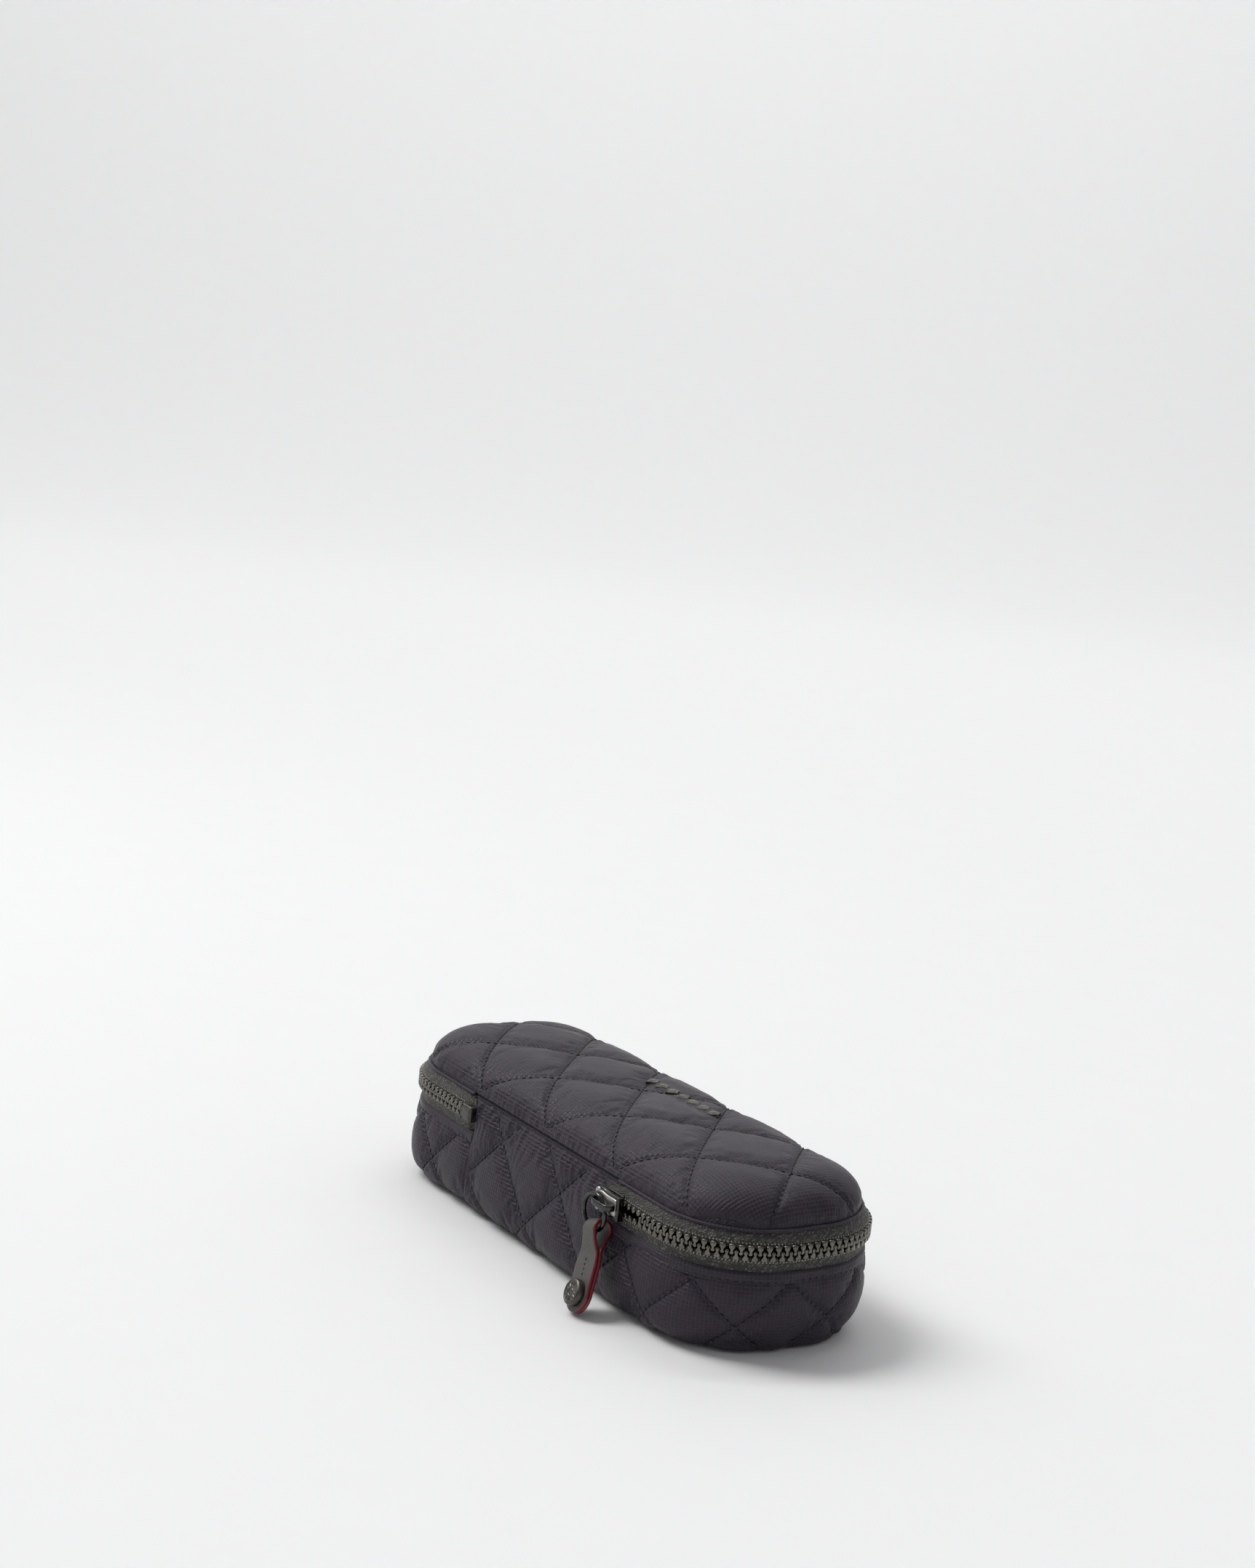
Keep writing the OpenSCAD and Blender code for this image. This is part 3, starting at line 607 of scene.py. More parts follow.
def flatGrid(reach, rows, cols):
    # A patch stretched between the four sides of the outline: along the opposite sides in turn, less the part counted twice.
    eighth = reach * math.pi / 4

    def side(count, half, start, axis):
        at = np.linspace(0, 2 * eighth + 2 * half, count)
        turn = np.radians(np.interp(at, [0, eighth, eighth + 2 * half, 2 * eighth + 2 * half], [start, start + 45, start + 45, start + 90]))
        slide = np.interp(at, [0, eighth, eighth + 2 * half, 2 * eighth + 2 * half], [-half, -half, half, half])
        base = np.stack([slide, -cornerY + 0 * slide], -1) if axis == 0 else np.stack([cornerX + 0 * slide, slide], -1)
        return base + reach * np.stack([np.cos(turn), np.sin(turn)], -1)

    front, right = side(rows, cornerX, 225, 0), side(cols, cornerY, 315, 1)
    back, left = front * [1, -1], right * [-1, 1]
    s, t = np.linspace(0, 1, rows)[:, None, None], np.linspace(0, 1, cols)[None, :, None]
    corners = (1 - s) * (1 - t) * front[0] + s * (1 - t) * front[-1] + (1 - s) * t * back[0] + s * t * back[-1]
    return (1 - t) * front[:, None] + t * back[:, None] + (1 - s) * left[None] + s * right[None] - corners


def splitFlat(flat):
    # The nearest point of the rectangle between the corner axes, the direction from it, and the distance.
    base = np.stack([np.clip(flat[..., 0], -cornerX, cornerX), np.clip(flat[..., 1], -cornerY, cornerY)], -1)
    away = flat - base
    far = np.linalg.norm(away, axis=-1)
    return base, away / np.maximum(far, 1e-9)[..., None], far


def domePoints(flat, table, lowZ):
    # The flat cloth laid over the arch: distance from the middle becomes reach and height.
    base, toward, far = splitFlat(flat)
    way, out, up = table
    share = far / way[-1]
    place = base + toward * np.interp(far, way, out)[..., None]
    return np.concatenate([place, (lowZ + np.interp(far, way, up))[..., None]], -1), base, toward, far, share


lidValues = dict(reach=26.6, rise=11.6, seamZ=37.3, crease=0.55, puff=1.25, fineStep=0.62, thick=1.6,
    quilt=dict(sumStep=39.0, gapStep=39.5, first=-2.0, second=4.5, pucker=2.35), emblem=(-10.0, -11.0, 20.0, 2.6))


def lidSkin(step, values=lidValues):
    # The lid's grid at the level of its seams, the pattern coordinates of each point, and the height of its padding.
    table = archTable(values["reach"], values["rise"])
    length = table[0][-1]
    rows, cols = int((2 * cornerX + length * math.pi / 2) / step), int((2 * cornerY + length * math.pi / 2) / step)
    flat = flatGrid(length, rows, cols)
    points, _, toward, _, share = domePoints(flat, table, values["seamZ"])
    a, b = flat[..., 0], flat[..., 1]
    normal = normalsOf(points)
    rim = 1 - smooth(0.90, 1.0, share)
    midX, midY, halfX, halfY = values["emblem"]
    plate = (1 - smooth(halfX, halfX + 5, np.abs(a - midX))) * (1 - smooth(halfY, halfY + 5, np.abs(b - midY)))
    puff = values["puff"] * quiltPillow(a, b, values["quilt"]) * rim * (1 - plate)
    points = points - normal * (values["crease"] * rim)[..., None]
    return dict(points=points, normal=normal, a=a, b=b, puff=puff, rim=rim, share=share, toward=toward)


# Profiles are (reach, height) from the bottom seam up; both panels share the part below.
footProfile = [(24.2, 1.1), (25.4, 0.95), (27.2, 1.2), (29.6, 3.0), (30.8, 6.2), (31.0, 9.5)]
wallValues = dict(start=hingeHalf, end=wholeWay - hingeHalf, topZ=25.6, crease=0.5, puff=1.15, fineStep=0.64, thick=1.4,
    quilt=dict(sumStep=31.54, gapStep=28.15, first=71.0, second=59.2, pucker=2.35),
    profile=footProfile + [(30.4, 15.0), (29.4, 20.5), (28.5, 23.6), (28.2, 25.3)])
hingeValues = dict(start=-hingeHalf, end=hingeHalf, topZ=36.9, crease=0.5, puff=1.2, fineStep=0.60, thick=1.4,
    quilt=dict(sumStep=31.5, gapStep=40.4, first=6.5, second=-9.5, pucker=2.35),
    profile=footProfile + [(30.5, 15.6), (29.0, 26.0), (28.1, 31.6), (26.9, 35.8), (26.5, 36.8)])


tuckValues = dict(middles=(128.0, 340.2), depth=2.6, lift=0.55)


def wallPlace(u, reach, z):
    # The wall tucks in under both ends of the case, by up to 2.6 mm low down.
    fromEnd = np.min([np.abs(np.asarray(u) - middle) for middle in tuckValues["middles"]], axis=0)
    tuck = tuckValues["depth"] * (1 - smooth(30, 64, fromEnd)) * (1 - smooth(3, 21, z)) * smooth(25.0, 29.0, reach)
    return aroundCase(u, reach - tuck, z + tuckValues["lift"] * tuck)


def sideSkin(step, values):
    # A panel of the wall: its profile carried along the outline, with pattern coordinates along it and up it.
    line, length = evenSteps(values["profile"], int(38 / step))
    u = np.linspace(values["start"], values["end"], int((values["end"] - values["start"]) / step))
    if values is hingeValues:  # the panel's two upper corners reach past the tape's folded ends
        spread = 1 + 4.2 / 38 * smooth(27.5, 36.5, line[:, 1])
        u = u[:, None] * spread[None]
    else:
        u = u[:, None] * np.ones(len(line))
    points = wallPlace(u, line[None, :, 0], line[None, :, 1])
    way = np.linspace(-length, 0, len(line))[None] + values["topZ"] + 0 * u
    normal = normalsOf(points)
    ends = smooth(0.0, 2.6, u - u[:1]) * smooth(0.0, 2.6, u[-1:] - u)
    rim = ends * smooth(0.0, 2.0, way - way[:, :1]) * smooth(0.0, 2.6, way[:, -1:] - way)
    puff = values["puff"] * quiltPillow(u, way, values["quilt"]) * rim
    points = points - normal * (values["crease"] * smooth(0, 1, rim))[..., None]
    return dict(points=points, normal=normal, a=u, b=way, puff=puff, rim=rim, ends=ends)


def settlingJob(name, skin, quilt, spare, pressure, bend=0.05, most=0.8, start=0.8):
    seam = quiltSeam(skin["a"], skin["b"], quilt)
    held = seam < 0.42 * clothSettings["step"]
    held[[0, -1], :] = True
    held[:, [0, -1]] = True
    points = skin["points"] + skin["normal"] * (start * skin["puff"])[..., None]
    return dict(name=name, points=points, held=held, spare=spare, pressure=pressure, bend=bend, most=most)


stitchGroove = 0.25  # how far a stitched line is pulled below its crease


def finishSkin(coarse, settled, fine, quilt, seed, pucker=0.15, wrinkle=0.10):
    # The settled move carried over to the fine grid, pulled down along the seams, with the small ridges that a stitch draws up.
    moved = resample(settled - coarse["points"], *fine["points"].shape[:2])
    seam = quiltSeam(fine["a"], fine["b"], quilt)
    deep = smooth(0.0, 1.5, seam)
    moved = moved * (0.12 + 0.88 * deep)[..., None]
    a, b, rim = fine["a"], fine["b"], np.clip(fine["rim"], 0, 1)
    ridge = pucker * quiltPucker(a, b, quilt, seed) * rim
    slack = wrinkle * softNoise(a, b, 9, seed + 40) * softNoise(a, b, 23, seed + 41) * smooth(0.5, 4, seam) * fine["rim"]
    groove = stitchGroove * (1 - smooth(0, 0.7, seam)) * rim
    return fine["points"] + moved + fine["normal"] * (ridge + slack - groove)[..., None]


coarseStep = clothSettings["step"]
coarse = [lidSkin(coarseStep), sideSkin(coarseStep, wallValues), sideSkin(coarseStep, hingeValues)]
settled = settleCloth([
    settlingJob("lid", coarse[0], lidValues["quilt"], spare=0.014, pressure=2.0),
    settlingJob("wall", coarse[1], wallValues["quilt"], spare=0.014, pressure=1.8),
    settlingJob("hinge", coarse[2], hingeValues["quilt"], spare=0.02, pressure=1.8)])
fineLid = lidSkin(lidValues["fineStep"])
fineWall, fineHinge = sideSkin(wallValues["fineStep"], wallValues), sideSkin(hingeValues["fineStep"], hingeValues)
lidTop = finishSkin(coarse[0], settled[0], fineLid, lidValues["quilt"], 11)
wallFace = finishSkin(coarse[1], settled[1], fineWall, wallValues["quilt"], 23)
hingeFace = finishSkin(coarse[2], settled[2], fineHinge, hingeValues["quilt"], 37)


def gathers(u, away, reach, seed, size=3.2):
    # Ridges at right angles to a seam, uneven in width, that fade over their reach.
    bent = u + 0.35 * away * softNoise(u, away, 30, seed) + 0.8 * softNoise(u, 0 * u, 14, seed + 1)
    strength = np.clip(0.65 + 0.6 * softNoise(u, 0 * u, 19, seed + 2), 0.1, 1.3)
    return strength * (np.sin(bent * math.tau / size) + 0.5 * np.sin(bent * math.tau / (size * 0.53) + 1.3)) * np.exp(-away / reach)


def addGathers(face, fine, amount):
    return face + fine["normal"] * amount[..., None]


# Gathers on both sides of the hinge seam, and along the zip's lower binding
atHinge = (fineLid["toward"][..., 1] > 0.95) * (1 - smooth(36, 46, np.abs(fineLid["a"])))
hingeSide = smooth(0.75, 0.97, fineLid["share"]) * atHinge
lidTop = addGathers(lidTop, fineLid, 0.26 * hingeSide * gathers(fineLid["a"], 0 * fineLid["a"], 5, 3) * fineLid["rim"] ** 0.5)
fromTop = fineHinge["b"][:, -1:] - fineHinge["b"]
hingeFace = addGathers(hingeFace, fineHinge,
    0.42 * gathers(fineHinge["a"], fromTop, 8.5, 5, 3.6) * smooth(0.2, 2.5, fromTop) * fineHinge["ends"])
fromBinding = fineWall["b"][:, -1:] - fineWall["b"]
wallFace = addGathers(wallFace, fineWall,
    0.16 * gathers(fineWall["a"], fromBinding, 3.5, 8, 2.7) * smooth(0.2, 2.0, fromBinding) * fineWall["ends"])


def skinPiece(name, face, fine, depth, rides, stands):
    inner = fine["points"] - fine["normal"] * depth
    skin = shellPart(face, inner, uv=np.stack([fine["a"], fine["b"]], -1))
    makePiece(name, skin, nylon, rides, stands)


skinPiece("quiltedLid", lidTop, fineLid, lidValues["thick"], "lid", "lid_panel")
skinPiece("quiltedWall", wallFace, fineWall, wallValues["thick"], "base", "side_wall")
skinPiece("quiltedHingePanel", hingeFace, fineHinge, hingeValues["thick"], "base", "hinge_panel")

print("quilting threads")
stitchValues = dict(pitch=2.35, length=1.75, radius=0.27, lift=0.27)


def quiltThread(line, outward):
    return stitchesAlong(line, outward, stitchValues["pitch"], stitchValues["length"], stitchValues["radius"])


def threadsOnLid():
    table, made = archTable(lidValues["reach"], lidValues["rise"]), []
    length = table[0][-1]
    for line in quiltLines(lidValues["quilt"], (-104, 104), (-38, 38)):
        base, toward, far = splitFlat(line)
        keep = far < length * 0.965
        if keep.sum() < 8:
            continue
        first, last = np.flatnonzero(keep)[[0, -1]]
        pick = slice(first, last + 1)
        way, out, up = table
        share = far[pick] / length
        foot = base[pick] + toward[pick] * np.interp(far[pick], way, out)[:, None]
        place = np.concatenate([foot, (lidValues["seamZ"] + np.interp(far[pick], way, up))[:, None]], -1)
        slope = np.interp(far[pick], (way[1:] + way[:-1]) / 2, np.diff(up) / np.maximum(np.diff(out), 1e-6))
        normal = np.concatenate([-toward[pick] * slope[:, None], np.ones((len(slope), 1))], -1)
        normal /= np.linalg.norm(normal, axis=1, keepdims=True)
        rim = 1 - smooth(0.90, 1.0, share)
        place = place - normal * (lidValues["crease"] * rim + stitchGroove - stitchValues["lift"])[:, None]
        made.append(quiltThread(place, normal))
    return [m for m in made if m is not None]


def threadsOnSide(values):
    made = []
    line, length = evenSteps(values["profile"], 120)
    out = np.stack([np.gradient(line[:, 1]), -np.gradient(line[:, 0])], -1)
    out /= np.linalg.norm(out, axis=1, keepdims=True)
    way = np.linspace(-length, 0, len(line)) + values["topZ"]
    for place in quiltLines(values["quilt"], (values["start"], values["end"]), (way[0] + 1.5, way[-1] - 1.2)):
        keep = (place[:, 0] > values["start"] + 1.5) & (place[:, 0] < values["end"] - 1.5)
        if keep.sum() < 8:
            continue
        u, b = place[keep].T
        reach, z = np.interp(b, way, line[:, 0]), np.interp(b, way, line[:, 1])
        outR, outZ = np.interp(b, way, out[:, 0]), np.interp(b, way, out[:, 1])
        sink = values["crease"] + stitchGroove - stitchValues["lift"]
        points = wallPlace(u, reach - outR * sink, z - outZ * sink)
        normal = outwardAt(u)[1] * outR[:, None] + outwardAt(u)[2] * outZ[:, None]
        made.append(quiltThread(points, normal))
    return [m for m in made if m is not None]


makePiece("lidQuiltingThread", threadsOnLid(), darkThread, "lid")
makePiece("wallQuiltingThread", threadsOnSide(wallValues), darkThread, "base")
makePiece("hingeQuiltingThread", threadsOnSide(hingeValues), darkThread, "base")

print("bottom, binding and linings")
bottomValues = dict(reach=24.6, step=0.95, puff=0.8, seamZ=0.95, insideZ=3.4,
    quilt=dict(sumStep=39.0, gapStep=39.5, first=-2.0, second=4.5, pucker=2.35))


def bottomPanel(values=bottomValues):
    # The quilted bottom: a flat sheet whose pads hang down to the floor, and an even inner face.
    rows, cols = int(170 / values["step"]), int(50 / values["step"])
    flat = flatGrid(values["reach"], rows, cols).transpose(1, 0, 2)
    a, b, quilt = flat[..., 0], flat[..., 1], values["quilt"]
    rim = smooth(0.0, 3.0, values["reach"] - splitFlat(flat)[2])
    hang = values["puff"] * quiltPillow(a, b, quilt) + 0.08 * smooth(0, 1, quiltSeam(a, b, quilt))
    height = values["seamZ"] - hang * rim
    height = np.maximum(height + 0.03 * quiltPucker(a, b, quilt, 51) * rim, 0.03)
    outer = np.concatenate([flat, height[..., None]], -1)
    inner = np.concatenate([flat, values["insideZ"] + 0 * height[..., None]], -1)
    piece = makePiece("quiltedBottom", shellPart(outer, inner, uv=flat), nylon, "base", "bottom_panel")
    threads = []
    for line in quiltLines(values["quilt"], (-92, 92), (-28, 28)):
        far = splitFlat(line)[2]
        keep = far < values["reach"] - 3.2
        if keep.sum() > 8:
            points = np.concatenate([line[keep], np.full((keep.sum(), 1), 0.90)], -1)
            threads.append(quiltThread(points, np.tile([0, 0, -1.0], (keep.sum(), 1))))
    makePiece("bottomQuiltingThread", [t for t in threads if t is not None], darkThread, "base")


bottomPanel()


bindingValues = dict(stitchReach=29.30, stitchZ=22.7, stitch=(2.35, 1.7, 0.17),
    section=[(28.0, 21.8), (29.15, 21.9), (29.35, 23.6), (29.2, 25.2), (28.7, 25.95),
        (27.0, 26.0), (24.9, 25.95), (24.9, 25.3), (27.6, 25.2), (28.0, 24.0)])


def bindingWobble(u, z):
    # A hand-folded strip is never quite even: it swells and draws in a little along its way.
    out = outwardAt(u)[1]
    atStitch = np.exp(-np.abs(z - bindingValues["stitchZ"]) / 0.8)
    ripple = np.sin(u * math.tau / bindingValues["stitch"][0] + softNoise(u, 0 * u, 25, 62))
    return out * (0.13 * softNoise(u, z * 3, 12, 61) + 0.10 * ripple * atStitch)[..., None]


strip = sectionAround(closedCurve(bindingValues["section"], 26), 38.4, wholeWay - 38.4, 0.6, bindingWobble)
makePiece("wallBinding", strip, nylon, "base", "wall_binding")
stitchWay = np.linspace(40, wholeWay - 40, 900)
stitchLine = aroundCase(stitchWay, bindingValues["stitchReach"], bindingValues["stitchZ"])
bindingStitches = stitchesAlong(stitchLine, outwardAt(stitchWay)[1], *bindingValues["stitch"])
makePiece("bindingThread", bindingStitches, darkThread, "base")


def clothWaves(points, size, amount, seed):
    # Slack in a lining: low waves at right angles to it.
    waves = amount * softNoise(points[..., 0] + points[..., 2], points[..., 1], size, seed)
    return points + normalsOf(points) * waves[..., None]


def linedFloor():
    reach = 23.9
    flat = flatGrid(reach, 170, 60)
    top = np.concatenate([flat, 5.58 + 0 * flat[..., :1]], -1)
    top = clothWaves(top, 17, 0.05, 71)
    low = np.concatenate([flat, 4.85 + 0 * flat[..., :1]], -1)
    piece = makePiece("floorLining", shellPart(top, low, uv=flat), wineLining, "base", "floor_lining")


def linedSides():
    # The wall's lining is one strip round the inside, higher behind the hinge panel.
    u = np.linspace(-hingeHalf, wholeWay - hingeHalf, 560)[:, None]
    top = 25.9 + 5.6 * (1 - smooth(38.0, 39.4, np.abs((u + wholeWay / 2) % wholeWay - wholeWay / 2)))
    share = np.linspace(0, 1, 16)[None]
    z = 4.9 + (top - 4.9) * share
    rumple = 0.16 * softNoise(u, z, 13, 81) * smooth(0, 0.2, share) * smooth(0, 0.2, 1 - share)
    face = aroundCase(u + 0 * z, 24.06 + np.abs(rumple), z)[:, ::-1]
    back = aroundCase(u + 0 * z, 24.66 + 0 * rumple, z)[:, ::-1]
    strip = shellPart(face, back, uv=np.stack([u + 0 * z, z], -1)[:, ::-1])
    piece = makePiece("sideLining", strip, wineLining, "base", "side_lining")


linedFloor()
linedSides()


insideSeamZ = 37.35  # where the lid's inside pieces meet the seam


def lidInside():
    # Foam and lining follow the lid's arch inside the panel: two arches, one inside the other, joined at the rim.
    for name, reach, rise, thick, look, stands, place in (
            ("lidFoam", 24.0, 8.8, 1.7, paleFoam, "lid_foam", "foam"),
            ("lidLining", 22.0, 6.9, 0.6, wineLining, "lid_lining", "lining")):
        table = archTable(reach, rise)
        inner = archTable(reach - thick, rise - thick)
        full = table[0][-1]
        flat = flatGrid(full, 190, 84)
        top = domePoints(flat, table, insideSeamZ)[0]
        base, toward, far = splitFlat(flat)
        way = far / full * inner[0][-1]
        foot = base + toward * np.interp(way, inner[0], inner[1])[..., None]
        low = np.concatenate([foot, (insideSeamZ + np.interp(way, inner[0], inner[2]))[..., None]], -1)
        if name == "lidLining":
            slack = 0.10 * softNoise(low[..., 0], low[..., 1], 15, 91) * smooth(0.0, 0.2, 1 - far / full)
            low = low + normalsOf(low) * slack[..., None]
        piece = makePiece(name, shellPart(top, low, uv=flat), look, "lid", stands)
    section = closedCurve([(20.9, 37.02), (25.0, 37.02), (25.5, 37.15), (25.5, 37.5), (25.0, 37.6), (21.4, 37.6), (20.9, 37.5)], 18)
    makePiece("lidRimBinding", sectionAround(section, 0.0, wholeWay - 0.05, 1.2), wineLining, "lid")


lidInside()

print("zip")
zipValues = dict(reach=29.0, low=29.4, high=33.8, middle=31.6, pitch=2.6, first=40.9, last=wholeWay - 44.9, shortTill=58.0,
    half=[(0.92, -2.25), (0.96, -1.35), (0.74, -1.0), (0.44, -0.62), (0.42, -0.28), (0.64, 0.08), (0.64, 0.44), (0.38, 0.72)],
    short=[(0.92, -2.25), (0.96, -1.35), (0.82, -1.12), (0.70, -1.02), (0.66, -0.96), (0.64, -0.86), (0.60, -0.78), (0.40, -0.66)])


def toothPart(half):
    # One moulded tooth: its outline, wide at the tape, narrow at the neck and wide at the head, drawn in at both faces.
    half = np.array(half)
    outline = np.concatenate([half, half[::-1] * [-1, 1]])
    middle = np.array([0, -0.9])
    layers = [(-1.20, 0.78), (-0.98, 1.0), (0.92, 1.0), (1.16, 0.86), (1.27, 0.62)]
    rings = []
    for y, s in layers:
        drawn = middle + (outline - middle) * [s, 1 - (1 - s) * 0.45]
        rings.append(np.stack([drawn[:, 0], np.full(len(outline), y), drawn[:, 1]], -1))
    return gridPart(np.stack(rings), wrapCols=True, cap=True)


def chainRow(lower):
    start = zipValues["first"] + (0 if lower else zipValues["pitch"] / 2)
    at = np.arange(start, zipValues["last"], zipValues["pitch"])
    parts = []
    short = at < zipValues["shortTill"]
    for shape, chosen in ((zipValues["short"], short), (zipValues["half"], ~short)):
        along, out, up = outwardAt(at[chosen])
        origin = aroundCase(at[chosen], zipValues["reach"], zipValues["middle"])
        flip = 1 if lower else -1
        parts.append(repeatPart(toothPart(shape), origin, -along * flip, out, up * flip))
    return parts


def cordTicks(lower):
    # Short slanted threads over the tape's edge, between the teeth.
    z = zipValues["low"] - 0.42 if lower else zipValues["high"] + 0.42
    reach = 28.93 + 0.36 if lower else 28.75 + 0.36
    at = np.arange(zipValues["first"] - 0.6, zipValues["last"], zipValues["pitch"] / 2.5)
    along, out, up = outwardAt(at)
    lean = 0.5 if lower else -0.5
    ahead = up + lean * along
    ahead /= np.linalg.norm(ahead, axis=1, keepdims=True)
    return repeatPart(threadPart(0.95, 0.17), aroundCase(at, reach, z), ahead, np.cross(out, ahead), out)


makePiece("lowerChain", chainRow(True), toothMetal, "base", "lower_teeth")
makePiece("upperChain", chainRow(False), toothMetal, "lid", "upper_teeth")
# The cord ticks are real cord loops. Their pale colour is a painted highlight on the tape's edge.
makePiece("lowerCordTicks", cordTicks(True), cordThreadPaintedGlint, "base")
makePiece("upperCordTicks", cordTicks(False), cordThreadPaintedGlint, "lid")
tapeValues = dict(
    lower=[(28.05, 25.5), (28.62, 25.5), (28.85, 27.6), (29.28, 28.7), (29.34, 29.2),
        (29.30, 30.35), (28.70, 30.35), (28.62, 28.9), (28.3, 27.4)],
    upper=[(28.70, 32.85), (29.30, 32.85), (29.34, 34.0), (29.1, 34.7), (28.35, 35.8),
        (27.1, 37.35), (26.5, 37.35), (27.7, 35.8), (28.5, 34.5)])


def tapeWobble(u, z):
    return outwardAt(u)[1] * (0.07 * softNoise(u, z, 16, 101))[..., None]


def foldedTape(section, lower):
    # The tape runs round the case; its two ends are cut on a slant where they are folded under the hinge panel.
    curve = closedCurve(section, 40)
    base = np.linspace(38.6, wholeWay - 38.6, 700)[:, None]
    middle = wholeWay / 2
    cut = 0 * curve[:, 1] if lower else 4.6 * smooth(33.6, 37.4, curve[:, 1])
    u = middle + (base - middle) * (1 - cut[None] / (middle - 38.6))
    dip = 1.1 * (1 - smooth(0.5, 4.5, np.minimum(base - base[0], base[-1] - base)))  # both ends go under the hinge panel's edge
    points = aroundCase(u, curve[None, :, 0] - dip, curve[None, :, 1]) + tapeWobble(u, curve[None, :, 1] + 0 * u)
    return gridPart(points, wrapCols=True, cap=True)


makePiece("lowerZipTape", foldedTape(tapeValues["lower"], True), tapeCloth, "base", "lower_tape")
makePiece("upperZipTape", foldedTape(tapeValues["upper"], False), tapeCloth, "lid", "upper_tape")
piping = closedCurve([(26.9, 36.75), (27.55, 36.85), (27.75, 37.35), (27.3, 37.85), (26.6, 37.9), (26.2, 37.3)], 14)


def pipingWobble(u, z):
    return outwardAt(u)[1] * (0.09 * softNoise(u, z, 5, 111) + 0.05 * np.sin(u * math.tau / 2.35))[..., None]


makePiece("lidPiping", sectionAround(piping, 42.6, wholeWay - 42.6, 0.7, pipingWobble), nylon, "lid", "lid_piping")
hingePiping = closedCurve([(26.5, 36.55), (27.0, 36.62), (27.05, 36.9), (26.8, 37.05), (23.2, 37.0), (23.2, 36.6)], 16)
makePiece("hingeWelt", sectionAround(hingePiping, -42.2, 42.2, 0.8), nylon, "base", "hinge_welt")


def hingeCloth():
    # The cloth that carries the lid: an outer and an inner skin from the hinge panel to the lid.
    u = np.linspace(-41.5, 41.5, 150)[:, None]
    share = np.linspace(0, 1, 30)[None]
    outer = aroundCase(u + 0 * share, 26.75 - 0.35 * np.sin(share * math.pi), 36.75 + 0.75 * share)
    inner = aroundCase(u + 0 * share, 23.4 + 0.1 * np.sin(share * math.pi), 36.75 + 0.75 * share)
    band = shellPart(outer, inner, uv=np.stack([u + 0 * share, 5 * share + 0 * u], -1))
    piece = makePiece("hingeCloth", band, nylon)
    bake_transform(piece)


hingeCloth()

for node in ("lower_top_stop", "upper_top_stop"):
    dressNode(node, brightMetal)
boxLow, boxHigh = (np.array(corner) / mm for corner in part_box("zip_box"))
boxParts = [roundBoxPart((boxLow + boxHigh) / 2, boxHigh - boxLow, 0.7, 6)]
boxParts.append(roundBoxPart([(boxLow[0] + boxHigh[0]) / 2, boxHigh[1] - 0.02, 31.6], [5.0, 0.5, 3.6], 0.24, 4))
boxParts.append(roundBoxPart([boxHigh[0] - 0.35, boxHigh[1] - 0.1, 31.6], [0.7, 0.9, 5.0], 0.3, 4))
makePiece("zipBox", boxParts, rivetMetal, "base", "zip_box")

print("slider and pull")
sliderValues = dict(x=-44.5, baseY=5.5, z=31.6,
    outline=[(-6.45, 0), (-6.45, 2.6), (-6.1, 3.35), (-4.2, 3.55), (-1.2, 3.45), (1.0, 3.6), (2.6, 3.95),
        (4.6, 3.95), (6.0, 3.3), (6.45, 2.2), (6.2, 1.3), (5.9, 0.95), (6.35, 0.5), (6.5, 0)],
    plate=[(30.52, 0.25), (30.62, 0.08), (30.8, 0.0), (31.6, 0.0), (31.85, 0.08), (32.0, 0.26), (32.08, 0.55)],
    crown=[(31.9, 0.0), (32.2, 0.05), (32.34, 0.22), (32.42, 0.6)],
    bump=[(0.02, -0.3), (1.25, -0.3), (1.42, 0.0), (1.30, 0.32), (0.9, 0.5), (0.02, 0.56)])
ontoFront = np.array([[1, 0, 0], [0, 0, 1], [0, -1, 0]], float)  # turns a lathed part's own Z to the rear


def platePart(outline, layers):
    # An outline of (x, z) points stacked along Y; each layer is (y, how far it is drawn in).
    half = np.array(outline, float)
    curve = closedCurve(np.concatenate([half, half[-2:0:-1] * [1, -1]])[::-1], 84)
    size = np.abs(curve).max(0)
    rings = []
    for y, inset in layers:
        drawn = curve * (1 - inset / size)
        rings.append(np.stack([drawn[:, 0], np.full(len(curve), y), drawn[:, 1]], -1))
    return gridPart(np.stack(rings), wrapCols=True, cap=True)


def sliderParts(values=sliderValues):
    plate = platePart(values["outline"], values["plate"])
    crown = platePart([(x * 0.84, z * 0.76) for x, z in values["outline"]], values["crown"])
    parts = [plate, crown]
    for side in (-1, 1):
        parts.append(roundBoxPart([0, 30.08, side * 3.62], [11.8, 0.86, 0.70], 0.34, 4))
        parts.append(movePart(lathePart(values["bump"], 24), ontoFront, [4.6, 32.0, side * 2.2]))
    parts.append(roundBoxPart([0, 26.9, -2.15], [11.0, 1.1, 3.6], 0.4, 5))
    parts.append(roundBoxPart([0, 28.0, -3.52], [10.8, 1.0, 0.9], 0.3, 4))
    parts.append(roundBoxPart([3.3, 28.9, 0], [2.3, 4.6, 0.8], 0.25, 4))
    return parts


def toSlider(part, values=sliderValues):
    return movePart(part, np.eye(3), [values["x"], values["baseY"], values["z"]])


